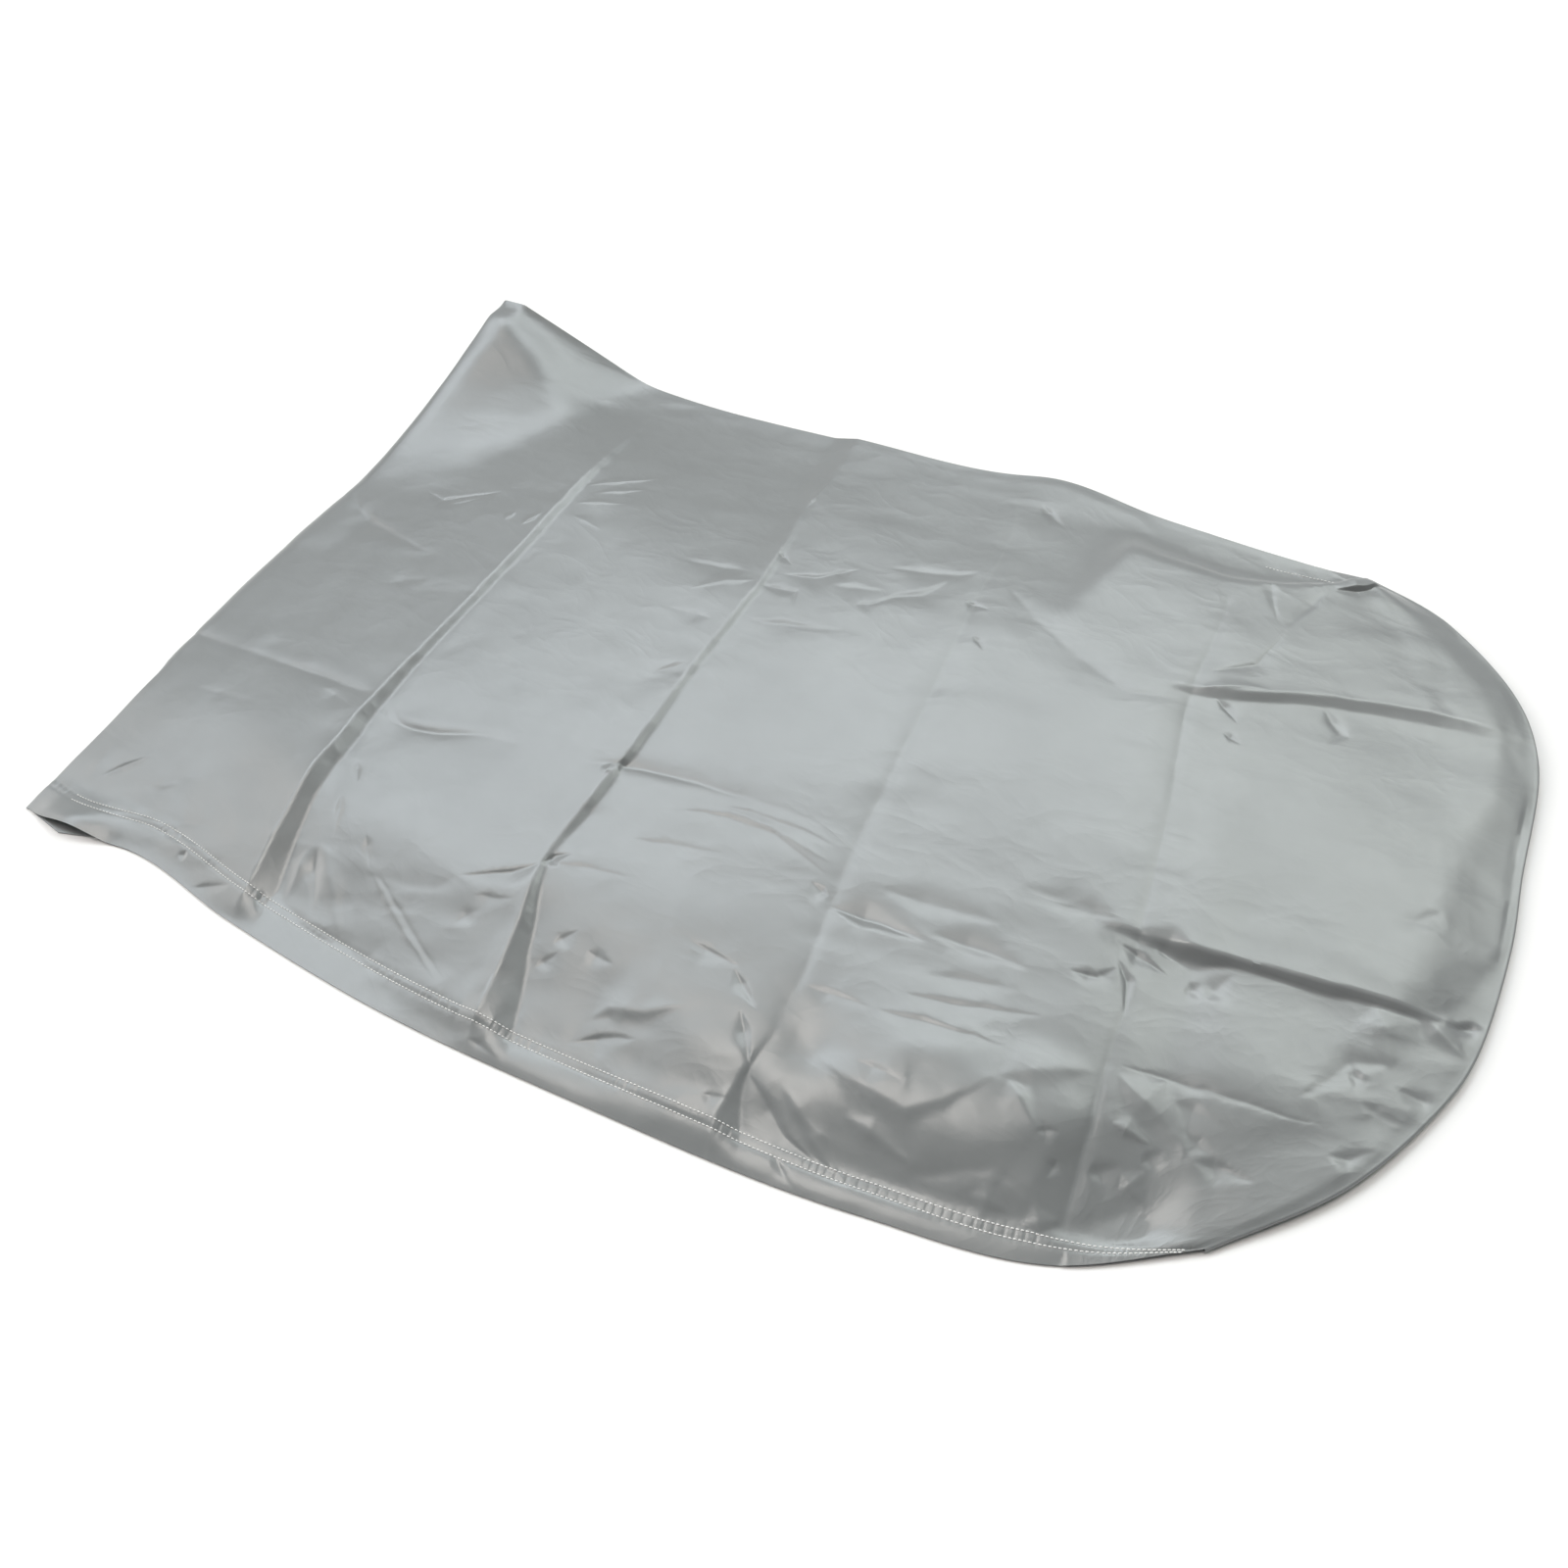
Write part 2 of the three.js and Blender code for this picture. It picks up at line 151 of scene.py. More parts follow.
# Creases across the cover. The rows give across, along, the rise of the line, how far that is felt on its
# left and on its right, and the drop to its right with the width of the facet that falls by it.
CROSS_CREASES = (
    (
        (-70, 338, 0, 5, 5, 5, 36),
        (-30, 334, 0.3, 5, 5, 10, 36),
        (10, 329, 0.4, 5, 5, 13, 33),
        (50, 323, 0.5, 5, 5, 13, 28),
        (90, 316, 0.5, 5, 5, 12, 24),
        (155, 306, 0.5, 5, 5, 11, 20),
        (220, 304, 0.5, 5, 5, 10, 18),
        (290, 302, 0.5, 5, 5, 8, 15),
        (360, 306, 0.3, 5, 5, 6, 12),
        (640, 319, 0.3, 5, 5, 5, 11),
        (900, 325, 0.2, 5, 5, 3.5, 9),
        (1000, 327, 0, 5, 5, 2, 8),
        (1110, 326, 0, 5, 5, 0, 8),
    ),
    (
        (-80, 667, 0, 6, 6, 8, 48),
        (-40, 662, 0.3, 6, 6, 16, 44),
        (15, 655, 0.5, 6, 6, 14, 31),
        (80, 647, 0.6, 6, 6, 9, 18),
        (125, 639, 0.6, 6, 6, 5, 9),
        (150, 635, 0.3, 6, 6, 3, 7),
        (230, 640, 0.5, 6, 6, 4.5, 9),
        (324, 650, 0.5, 6, 6, 4.5, 9),
        (500, 660, 0.3, 6, 6, 3.5, 8),
        (700, 676, 0.3, 6, 6, 3.5, 8),
        (900, 670, 0.2, 6, 6, 2, 7),
        (1060, 658, 0, 6, 6, 0, 7),
    ),
    (
        (-82, 944, 0, 14, 5, 8, 34),
        (-45, 938, 0, 14, 5, 9, 27),
        (-5, 944, -0.6, 14, 5, 5, 9),
        (45, 955, -1, 14, 5, 1.5, 5),
        (105, 963, -1.4, 16, 5, 0.6, 5),
        (260, 960, -1.6, 16, 5, 0.8, 5),
        (570, 968, -1.8, 14, 5, 1.2, 5),
        (770, 972, -1.8, 12, 5, 1, 5),
        (1000, 976, -1.6, 12, 5, 0.8, 5),
        (1060, 960, 0, 8, 5, 0, 5),
    ),
    (
        (-55, 1280, 0, 10, 4, 0, 5),
        (40, 1282, -3.6, 14, 3, 2, 5),
        (133, 1284, -3, 10, 3, 1.5, 5),
        (240, 1288, -0.8, 6, 4, 0.5, 5),
        (330, 1286, -1.6, 6, 4, 0.5, 5),
        (490, 1287, -1, 5, 4, 0.5, 5),
        (694, 1281, -1.6, 6, 4, 0.5, 5),
        (860, 1300, -0.8, 6, 4, 0, 5),
        (1000, 1304, 0, 6, 4, 0, 5),
    ),
)

# Creases along the cover, as above, with along and across changed round: far is their left, near their right
LONG_CREASES = (
    (
        (0, 316, -2, 6, 18, 0, 10),
        (60, 313, -1.5, 6, 18, 0, 10),
        (280, 300, -1.8, 6, 16, 0, 10),
        (318, 296, 0, 6, 22, 0, 10),
        (345, 279, -2, 5, 16, 0, 10),
        (480, 295, -1.2, 6, 16, 0, 10),
        (600, 300, 0, 8, 12, 0, 10),
        (665, 317, -3, 12, 8, 0, 10),
        (780, 324, -2, 14, 8, 0, 10),
        (950, 318, 0, 14, 8, 0, 10),
    ),
    (
        (1240, 312, 0, 8, 8, 0, 8),
        (1300, 313, 0.5, 8, 8, 7, 9),
        (1345, 315, 0.5, 8, 8, 15, 17),
        (1390, 318, 0.5, 8, 8, 9, 5),
        (1430, 321, 0.5, 8, 8, 9, 5),
        (1480, 325, 0.6, 8, 8, 11, 8),
        (1530, 328, 0.6, 8, 8, 8, 5),
        (1575, 331, 0.6, 8, 8, 7, 5),
        (1660, 350, 0, 8, 8, 2, 10),
    ),
    (
        (1240, 706, 0, 8, 8, 0, 12),
        (1310, 718, 0.6, 8, 8, 4.5, 14),
        (1443, 762, 0.8, 8, 8, 5, 18),
        (1590, 788, 0.8, 8, 8, 4, 20),
        (1700, 792, 0, 8, 8, 1, 20),
    ),
)

# Roundness of the tips of creases and wrinkles
LINE_TIP = 1

# Crease lines: how far panels on their left and right are tilted, the share of the drop by which the left one
# is lifted, their kinks, and the distance from the rounded end's rim over which they fade
PANEL_REACH = (200, 450)
PANEL_LIFT = 0.35
CREASE_KINK = 0.8
CREASE_KINK_PITCH = (26, 26)
CREASE_FADE = 120

# Broad hollows and swells: along, across, span along, span across, rise
SWELLS = (
    (1130, -52, 95, 45, -5),
    (1120, 80, 110, 50, 8),
    (1000, 52, 32, 36, -6),
    (1420, 55, 110, 60, 5),
    (1480, 540, 120, 120, 3),
)

# Wrinkles placed one by one, each a line where two flat facets meet. The rows give the rise of the line, less
# than nothing for a trough, the widths of the facets on its left and on its right, and the line's points from
# its strong end: along, across.
WRINKLES = (
    # Left corner and first panel
    (0.6, 12, 20, (40, 55), (25, 130)),
    (-1.2, 3, 16, (50, 70), (90, 120)),
    (-1.5, 26, 12, (85, 55), (190, 50), (250, 60)),
    (0.8, 16, 8, (120, 80), (155, 95)),
    (-1.5, 4, 8, (225, 20), (230, 5)),
    (-1.8, 4, 22, (260, -20), (310, 0)),
    (-0.9, 12, 30, (65, 230), (170, 235)),
    (-1, 5, 24, (230, 285), (290, 270)),
    (-4.5, 14, 40, (-5, 665), (30, 635), (70, 610), (200, 575)),
    (-1.6, 5, 26, (110, 705), (145, 695), (225, 745)),
    (1, 14, 5, (160, 690), (200, 720)),
    (1.2, 12, 4, (265, 680), (270, 705)),
    (1.4, 12, 4, (295, 680), (310, 715)),
    (-0.8, 14, 30, (180, 495), (235, 525)),
    # Beside the first crease
    (-1.2, 6, 5, (420, 110), (450, 75)),
    (-1.2, 6, 5, (360, 150), (385, 95)),
    (-1.1, 6, 5, (345, 200), (365, 170)),
    (2, 8, 8, (362, 75), (378, 5)),
    (-2.6, 10, 8, (370, 80), (400, 30), (420, 0)),
    (1.8, 18, 16, (375, 85), (425, 35), (470, -15)),
    (-1.2, 6, 6, (345, 10), (360, -20)),
    # Second panel
    (1, 14, 4, (335, 805), (435, 885)),
    (0.9, 14, 4, (360, 795), (425, 840)),
    (0.8, 14, 4, (345, 760), (415, 790)),
    (0.8, 14, 4, (355, 730), (410, 715)),
    (-1.5, 30, 8, (655, 710), (610, 705), (550, 700)),
    (1.2, 6, 20, (670, 695), (630, 675), (590, 640)),
    (-1.1, 26, 6, (645, 595), (580, 595)),
    (-1.2, 20, 6, (655, 505), (615, 470)),
    (1.4, 14, 4, (455, 70), (525, 25), (600, -20)),
    (-1.2, 4, 12, (465, 70), (535, 25), (605, -15)),
    (-1.2, 30, 30, (555, 100), (535, 75), (445, 65)),
    (-1.1, 4, 20, (585, 85), (630, 95)),
    (-1.2, 14, 12, (595, 70), (580, 45)),
    # Second crease
    (-1.6, 6, 20, (680, 690), (730, 695), (740, 665)),
    (-1.6, 8, 34, (690, 615), (745, 625), (825, 645)),
    (-1.6, 6, 28, (700, 725), (745, 735), (800, 780)),
    (-1.2, 6, 26, (820, 700), (850, 720)),
    (-1.2, 4, 14, (675, 770), (705, 750)),
    (1, 10, 4, (670, 890), (680, 975)),
    (-1.6, 8, 5, (650, 325), (655, 300)),
    (1.2, 10, 4, (640, 290), (640, 315)),
    (-2.4, 22, 4, (635, 148), (610, 125), (555, 100)),
    (-2.4, 4, 14, (635, 148), (645, 165), (660, 175)),
    (-2, 4, 20, (665, -60), (705, -70)),
    # Third panel
    (-1.2, 5, 26, (790, 305), (895, 305), (940, 295)),
    (-1.6, 5, 30, (750, 280), (805, 290), (865, 285), (945, 255)),
    (1, 16, 5, (795, 300), (860, 295), (945, 270)),
    (-0.9, 6, 30, (715, 220), (825, 240)),
    (-1, 5, 20, (645, 155), (695, 165), (740, 170)),
    (-1.5, 5, 16, (695, 65), (715, 90)),
    (-1.5, 5, 16, (690, 35), (705, 60)),
    (-1.5, 6, 20, (735, 70), (770, 65)),
    (3.6, 34, 14, (775, 5), (790, 20), (825, 28), (865, 50)),
    (-2.2, 4, 24, (770, -25), (795, -10), (830, 0)),
    (-1.8, 3.5, 22, (835, 120), (900, 110)),
    (-1.4, 4, 16, (915, -30), (945, -25)),
    (-1.8, 10, 40, (840, 800), (935, 820), (965, 840)),
    (-2, 30, 8, (930, 805), (900, 760), (865, 740), (830, 700)),
    (-1.2, 6, 24, (765, 755), (790, 775)),
    (-1, 8, 30, (775, 730), (850, 745)),
    # Third crease and the pleats below it
    (-1.6, 6, 20, (960, 765), (995, 760)),
    (-1.4, 8, 6, (990, 700), (1010, 675)),
    (-2, 20, 5, (955, 230), (930, 240)),
    (-2.4, 4, 10, (895, 105), (935, 70)),
    (-2.6, 5, 12, (920, 65), (945, 25), (955, 5)),
    (-2.8, 5, 24, (955, 5), (1010, -35), (1050, -50)),
    (2, 18, 7, (990, 5), (1020, -15), (1055, -30)),
    (2, 14, 7, (1015, -15), (1050, -40), (1080, -55)),
    (-1.8, 5, 16, (1005, -55), (1025, -75), (1050, -85)),
    # Fourth panel
    (-4, 24, 10, (960, 215), (1015, 218), (1080, 212)),
    (-2, 30, 16, (1005, 260), (1055, 260), (1145, 265)),
    (-2.4, 24, 14, (1075, 225), (1140, 225), (1190, 220)),
    (-1.4, 30, 30, (1235, 322), (1155, 322)),
    (-1.3, 16, 5, (1255, 240), (1225, 235)),
    (-1.2, 4, 26, (970, 115), (1045, 115)),
    (-1.6, 4, 30, (1050, 115), (1185, 125)),
    (-1.5, 5, 26, (1070, 145), (1120, 150), (1210, 172)),
    (-1.2, 8, 26, (1080, 175), (1185, 195)),
    (-1.2, 5, 24, (1050, 55), (1100, 50)),
    (-3, 45, 65, (1010, 820), (1055, 770), (1130, 715), (1205, 670), (1270, 685)),
    (-2.2, 8, 16, (1005, 1045), (1050, 1000)),
    # Hollow in the fourth panel's skirt
    (4, 70, 18, (1010, 45), (1055, 35), (1110, 25), (1140, 45), (1185, 90)),
    (2.6, 34, 20, (1185, 90), (1220, 110), (1275, 135)),
    (3, 16, 12, (1055, 0), (1095, -8), (1135, -20)),
    (-2.5, 46, 14, (1130, -30), (1205, 5), (1255, -10)),
    (2.4, 14, 10, (1190, -25), (1235, -25)),
    (2.4, 14, 10, (1245, -30), (1280, -12)),
    (2.4, 16, 22, (1195, 90), (1235, 50)),
    (-2, 5, 14, (1235, 50), (1255, 60)),
    (-1.8, 6, 8, (1260, 35), (1255, 15)),
    # Below the fourth crease
    (-1.6, 6, 10, (1295, 150), (1325, 155), (1380, 160), (1460, 163), (1495, 170)),
    (3.2, 34, 26, (1295, 140), (1335, 120), (1365, 100), (1380, 85)),
    (2.4, 18, 6, (1300, 90), (1340, 85)),
    (-2.4, 10, 24, (1290, 35), (1305, 45), (1320, 55)),
    (2.4, 20, 14, (1320, 50), (1350, 30)),
    (-1.4, 8, 24, (1335, 65), (1355, 85)),
    (-2.6, 8, 24, (1380, 85), (1410, 90), (1440, 87)),
    (-1.4, 8, 26, (1370, 110), (1405, 95)),
    (-1.4, 10, 28, (1355, 135), (1405, 130)),
    (-2, 8, 6, (1270, 270), (1285, 250), (1290, 205)),
    (-1.6, 16, 6, (1270, 260), (1255, 240), (1225, 235)),
    (-1.8, 26, 20, (1260, 318), (1190, 310)),
    # Near part of the bow end
    (-4, 24, 10, (1285, 315), (1335, 303), (1375, 308)),
    (-2.2, 5, 14, (1270, 290), (1325, 275)),
    (-2, 14, 18, (1345, 275), (1365, 260)),
    (-2.2, 16, 20, (1365, 260), (1390, 305)),
    (3.4, 26, 18, (1575, 330), (1600, 315), (1630, 295)),
    (-5, 16, 8, (1645, 340), (1625, 335), (1605, 328)),
    (4, 44, 42, (1530, 320), (1545, 295), (1550, 255)),
    (-3, 20, 20, (1550, 260), (1515, 248), (1495, 220), (1465, 185)),
    (-2.8, 26, 10, (1605, 235), (1580, 233), (1555, 235)),
    (-2.6, 10, 22, (1500, 140), (1520, 143), (1545, 165)),
    (-1.6, 8, 18, (1525, 205), (1570, 200)),
    (-1.6, 8, 18, (1510, 230), (1535, 235)),
    (-1.4, 20, 8, (1595, 470), (1560, 440)),
    (-2.6, 20, 5, (1690, 690), (1675, 565), (1655, 425)),
    # Far part of the bow end
    (-1.8, 6, 18, (1300, 750), (1355, 785), (1385, 870)),
    (-1.8, 12, 5, (1315, 705), (1345, 670)),
    (-1.5, 10, 5, (1330, 645), (1355, 635)),
    (-2.4, 14, 10, (1445, 745), (1470, 705), (1455, 675)),
    (1.8, 16, 6, (1290, 710), (1310, 723), (1375, 745)),
    (-1.8, 8, 16, (1430, 980), (1380, 870)),
    (-1.4, 6, 14, (1350, 985), (1370, 885)),
    (5, 50, 6, (1440, 990), (1480, 1012), (1515, 1048)),
    (-3, 6, 20, (1440, 985), (1480, 1005), (1515, 1040)),
)

# Wrinkle lines: their kinks, and the share of the line over which they start
WRINKLE_KINK = 1.2
WRINKLE_KINK_PITCH = (18, 18)
WRINKLE_START = 0.35

# Unevenness of the cloth between its creases, in flat facets: pitch along, pitch across, turn in degrees,
# height. Corners of facets wander by a share of the pitch, and a share of the cells is split the other way.
FACET_WANDER = 0.5
TURNED_SHARE = 0.5
UNEVEN_SEED = 100
UNEVEN_SEED_STEP = 10
UNEVENNESS = (
    (120, 90, 25, 0.9),
    (55, 42, 65, 0.35),
    (180, 38, 8, 0.5),
)

# It is this many times rougher beside the near hem and the rounded end, and fades between these distances
ROUGHER = 2.5
ROUGHER_SPAN = (50, 240)

# Hem: its width, the distances of two stitch rows from the edge, and along the near edge the height by which
# the band tilts and the share of its width that is left: along, height or share
HEM_WIDTH = 40
STITCH_ROWS = (37, 46)
HEM_TILT = ((0, 1), (450, 1), (640, 4), (680, 13), (1000, 12), (1250, 7), (1340, 3), (1407, 1))
HEM_NARROWING = (
    (0, 1), (500, 0.95), (655, 0.85), (966, 0.72), (1100, 0.62), (1250, 0.5), (1330, 0.3), (1400, 0.08),
)

# Dips along the stitch rows, and puckers between them, which come in clusters
STITCH_DIP = 0.4
STITCH_DIP_WIDTH = 2.5
PUCKER_PITCH = 9.5
PUCKER_HEIGHT = 0.55
PUCKER_REACH = 6
PUCKER_SHARPNESS = 0.3
PUCKER_DRIFT = 0.6
PUCKER_DRIFT_PITCH = 4 * PUCKER_PITCH
PUCKER_CLUSTERS = (-0.5, 0.4)
PUCKER_SEED = 7

# Stitches: length and pitch, a thickness of more than twice the real thread's, so that they show, and where
# the rows start and stop along the near and the far hem
STITCH_LENGTH = 3.6
STITCH_PITCH = 4.5
STITCH_THICK = 1.2
NEAR_STITCHES = (45, 1389)
FAR_STITCHES = (1340, 1478)

# Rings of corners round a stitch: place as a share of its length, lift and girth as shares of its thickness
STITCH_RINGS = ((-0.5, -0.3, 0.4), (-0.3, 0.2, 1), (0.3, 0.2, 1), (0.5, -0.3, 0.4))
STITCH_SIDES = 6

# Cells of the cloth's mesh, its last row at the rounded end, columns across it, rows in the lower half, the
# fold, the roll and the lip, how often and with what slack cells are halved, and the share of inner faces
# that is kept
CELL = 12
RIM_ROW = 4
COLUMNS = 94
LOWER_ROWS = 29
FOLD_ROWS = 9
ROLL_ROWS = 8
LIP_ROWS = 5
FINE_PASSES = 3
CELL_SLACK = 0.8
INNER_SHARE = 0.1

# Where cells are halved: a band along the near hem, rises and drops of creases that count, the widest facet
# of a sharp wrinkle, and distances from an edge or a line
NEAR_BAND = 5 * CELL
LEAST_RISE = 0.5
LEAST_DROP = 1
SHARP_WIDTH = 6
BESIDE_LINE = 2 * CELL
BESIDE_WRINKLE = 1.3 * CELL
CLOSE_TO_LINE = 0.6 * CELL
ON_LINE = 0.25 * CELL

# Steps in which the rounded end's outline is followed, how far it is drawn in to find places beside it, and a
# distance past any on the cover
OUTLINE_STEPS = 2000
OUTLINE_SHARES = 801
EDGE_DRAW_IN = 6
FAR_AWAY = 1e6

# Where stitches are looked for: the outer share of the width, its steps and a small step to either side
STITCH_SEARCH = 0.15
STITCH_SEARCH_STEPS = 60
STITCH_SIDE_STEP = 0.002

# Places in each direction before a pattern of unevenness repeats
NOISE_CELLS = 64

# Edges of the cloth that turn by more degrees than this are sharp
RIM_ANGLE = 50

# The cut cloth: width and length in metres of the rectangle round it
FLAT_SIZE = (1.2, 3.5)

# Names of the cloth's map, in metres along and across the cut cloth, and of the paler lines along its
# creases, partly worn coating and partly painted glints
CLOTH_UV = "cut_cloth"
CREASE_WEAR_AND_GLINT = "crease_wear_and_glint"

# Paler lines along creases, partly the coating's wear and partly painted glints of light on their ridges: how
# much paler they are, their width, the rise and drop at which they are full, and their patches: least share,
# further share, pitch
CREASE_WEAR_AND_GLINT_PALER = 0.15
CREASE_WEAR_AND_GLINT_WIDTH = 2.5
CREASE_WEAR_AND_GLINT_FULL = 6
CREASE_WEAR_AND_GLINT_PATCHES = (0.6, 0.4)
CREASE_WEAR_AND_GLINT_PITCH = (20, 20)
CREASE_WEAR_AND_GLINT_SEED = 50

# Finish of the cloth: pitch and shades of its mottle, spread of its roughness, sizes of its fine creases and
# crinkle, and of its weave, which is drawn coarser than the real one of about a third of a millimetre, so
# that it doesn't shimmer
MOTTLE_PITCH = 90
MOTTLE_SHADE = (0.93, 1.07)
ROUGHNESS_SPREAD = 0.05
FINE_CREASE_PITCH = (80, 55)
FINE_CREASE_HEIGHT = 0.22
CRINKLE_PITCH = 12
CRINKLE_SHARE = 0.2
WEAVE_PITCH = 1.2
WEAVE_SHARE = 0.04

# Twist of the thread: pitch and height
THREAD_TWIST = 0.6
THREAD_TWIST_HEIGHT = 0.1

# A wave texture has 20 bands in 2 pi units at a scale of 1, so this scale gives one band a unit
WAVE_SCALE = math.pi / 10

# Floor, in metres, a little under the cloth
FLOOR_SIZE = 16
FLOOR_DROP = 0.0005

# Camera: place in metres, tilt and turn in degrees, lens and sensor in millimetres
CAMERA_PLACE = (0.3135, -0.9498, 1.046)
CAMERA_TILT = 39.5
CAMERA_TURN = 22
CAMERA_LENS = 25
CAMERA_SENSOR = 36

# Pale walls round the floor and the dark ceiling over them: brightness of each, and the heights in degrees
# between which the one passes into the other
WALL_LIGHT = 0.5
CEILING_LIGHT = 0.02
WALL_EDGE = (20, 30)

# Distant lights: name, turn from straight behind to the right and height above the floor in degrees, spread
# in degrees, strength, colour. Reflections don't show the fill light.
FILL_LIGHT = "left_fill"
LIGHTS = (
    ("back_light_1", -70, 50, 22, 0.42, "#F2F9FF"),
    ("back_light_2", -48, 49, 22, 0.41, "#F2F9FF"),
    ("back_light_3", -26, 47, 22, 0.44, "#F4FAFE"),
    ("back_light_4", -4, 46, 22, 0.46, "#F5FBFD"),
    ("back_light_5", 18, 45, 22, 0.44, "#F6FCF9"),
    ("back_light_6", 40, 44, 22, 0.4, "#F7FCF6"),
    ("left_light", -95, 26, 40, 0.9, "#FFFBF9"),
    (FILL_LIGHT, -95, 26, 40, 1.2, "#FFFBF9"),
    ("top_light", -56, 79, 25, 0.85, "#FFF6F0"),
)


def linear(hex_colour):
    """Linear red, green, blue and alpha of an sRGB hex colour."""
    parts = [int(hex_colour[i:i + 2], 16) / 255 for i in (1, 3, 5)]
    return [c / 12.92 if c <= 0.04045 else ((c + 0.055) / 1.055) ** 2.4 for c in parts] + [1.0]


def smoothstep(value, low, high):
    """From 0 to 1 between two values, level at both."""
    share = np.clip((value - low) / (high - low), 0, 1)
    return share * share * (3 - 2 * share)


def through(rows, place):
    """Smooth curves through a table's rows, one for each column after the first, at the places given."""
    table = np.array(rows, float)
    at = table[:, 0]
    values = table[:, 1:]
    slopes = np.gradient(values, at, axis=0)
    place = np.clip(place, at[0], at[-1])
    i = np.clip(np.searchsorted(at, place) - 1, 0, len(at) - 2)
    step = at[i + 1] - at[i]
    t = ((place - at[i]) / step)[..., None]
    step = step[..., None]
    found = (
        (2 * t**3 - 3 * t**2 + 1) * values[i]
        + (t**3 - 2 * t**2 + t) * step * slopes[i]
        + (3 * t**2 - 2 * t**3) * values[i + 1]
        + (t**3 - t**2) * step * slopes[i + 1]
    )
    return np.moveaxis(found, -1, 0)


def straight(rows, place):
    """A table's second column, in straight lines between its rows, at the places given."""
    places, values = zip(*rows)
    return np.interp(place, places, values)


def ramp(value, low, high):
    """From 0 to 1 in a straight slope that is rounded at its two ends."""
    share = np.clip((value - low) / (high - low), 0, 1)
    slope = 1 / (1 - RAMP_ROUND)
    foot = slope * share**2 / (2 * RAMP_ROUND)
    top = 1 - slope * (1 - share) ** 2 / (2 * RAMP_ROUND)
    middle = slope * (share - RAMP_ROUND / 2)
    return np.where(share < RAMP_ROUND, foot, np.where(share > 1 - RAMP_ROUND, top, middle))


def cell_corners(lattice, u, v):
    """Values at the four corners of each place's cell in a repeating lattice, and the place in the cell."""
    i = np.floor(u).astype(int)
    j = np.floor(v).astype(int)
    values = [lattice[(i + a) % NOISE_CELLS, (j + b) % NOISE_CELLS] for b in (0, 1) for a in (0, 1)]
    return *values, u - i, v - j


def cloth_noise(along, across, pitch, seed):
    """Smooth unevenness between -1 and 1, with bumps a pitch apart along and across."""
    lattice = np.random.default_rng(seed).uniform(-1, 1, (NOISE_CELLS, NOISE_CELLS))
    near, right, far, both, s, t = cell_corners(lattice, along / pitch[0], across / pitch[1])
    s = smoothstep(s, 0, 1)
    t = smoothstep(t, 0, 1)
    low = near * (1 - s) + right * s
    high = far * (1 - s) + both * s
    return low * (1 - t) + high * t


def facet_noise(along, across, pitch, seed):
    """Unevenness between -1 and 1 in flat facets of about a pitch, like those of cloth that was crumpled."""
    random = np.random.default_rng(seed)
    lattice = random.uniform(-1, 1, (NOISE_CELLS, NOISE_CELLS))
    turned = random.uniform(0, 1, (NOISE_CELLS, NOISE_CELLS)) < TURNED_SHARE
    u = along / pitch[0] + FACET_WANDER * cloth_noise(along, across, pitch, seed + 1)
    v = across / pitch[1] + FACET_WANDER * cloth_noise(along, across, pitch, seed + 2)
    near, right, far, both, s, t = cell_corners(lattice, u, v)
    rising = np.where(
        s > t,
        near + (right - near) * s + (both - right) * t,
        near + (far - near) * t + (both - far) * s,
    )
    falling = np.where(
        s + t < 1,
        near + (right - near) * s + (far - near) * t,
        both + (far - both) * (1 - s) + (right - both) * (1 - t),
    )
    return np.where(cell_corners(turned, u, v)[0], rising, falling)


def near_hem(along):
    """Across of the near edge."""
    return through(NEAR_HEM, along)[0]


def far_hem(along):
    """Across of the far edge."""
    return through(FAR_HEM, along)[0]


def bow_curve():
    """The rounded end's outline as evenly spaced points, with the direction out of the cover at each."""
    corners = np.array(BOW_END, float)
    chords = np.r_[0, np.cumsum(np.sqrt(np.linalg.norm(np.diff(corners, axis=0), axis=1)))]
    rows = np.column_stack([chords, corners])
    fine = through(rows, np.linspace(0, chords[-1], OUTLINE_STEPS)).T
    lengths = np.r_[0, np.cumsum(np.linalg.norm(np.diff(fine, axis=0), axis=1))]
    shares = np.linspace(0, 1, OUTLINE_SHARES)
    points = np.column_stack([np.interp(shares * lengths[-1], lengths, fine[:, k]) for k in (0, 1)])
    tangents = np.gradient(points, axis=0)
    tangents /= np.linalg.norm(tangents, axis=1)[:, None]
    outward = np.column_stack([tangents[:, 1], -tangents[:, 0]])
    return shares, points, outward


BOW_SHARES, BOW_POINTS, BOW_OUTWARD = bow_curve()


def at_bow(table, share):
    """Points or directions at shares of the rounded end's outline."""
    return np.column_stack([np.interp(share, BOW_SHARES, table[:, k]) for k in (0, 1)])


def along_bow(sizes, share):
    """A size that is small at the two ends of the bow's outline and full along its middle."""
    corner, middle = sizes
    return corner + (middle - corner) * np.sqrt(np.maximum(np.sin(np.pi * share), 0))


def bow_plan(way, share, draw_in):
    """Places in the rounded end, a share of the way from its straight start to its outline."""
    starts, bows, edges = [], [], []
    for hem, corner in ((near_hem, BOW_END[0]), (far_hem, BOW_END[-1])):
        start = hem(BOW_START)
        along = BOW_START + (corner[0] - BOW_START) * way
        starts.append(start)
        bows.append(hem(along) - (start + (corner[1] - start) * way))
        edges.append(np.column_stack([along, hem(along)]))
    start_along = np.full(len(share), float(BOW_START))
    start = np.column_stack([start_along, starts[0] + (starts[1] - starts[0]) * share])
    outline = at_bow(BOW_POINTS, share) - at_bow(BOW_OUTWARD, share) * draw_in[:, None]
    place = start + (outline - start) * way[:, None]
    place[:, 1] += bows[0] + (bows[1] - bows[0]) * share
    return place, outline, *edges


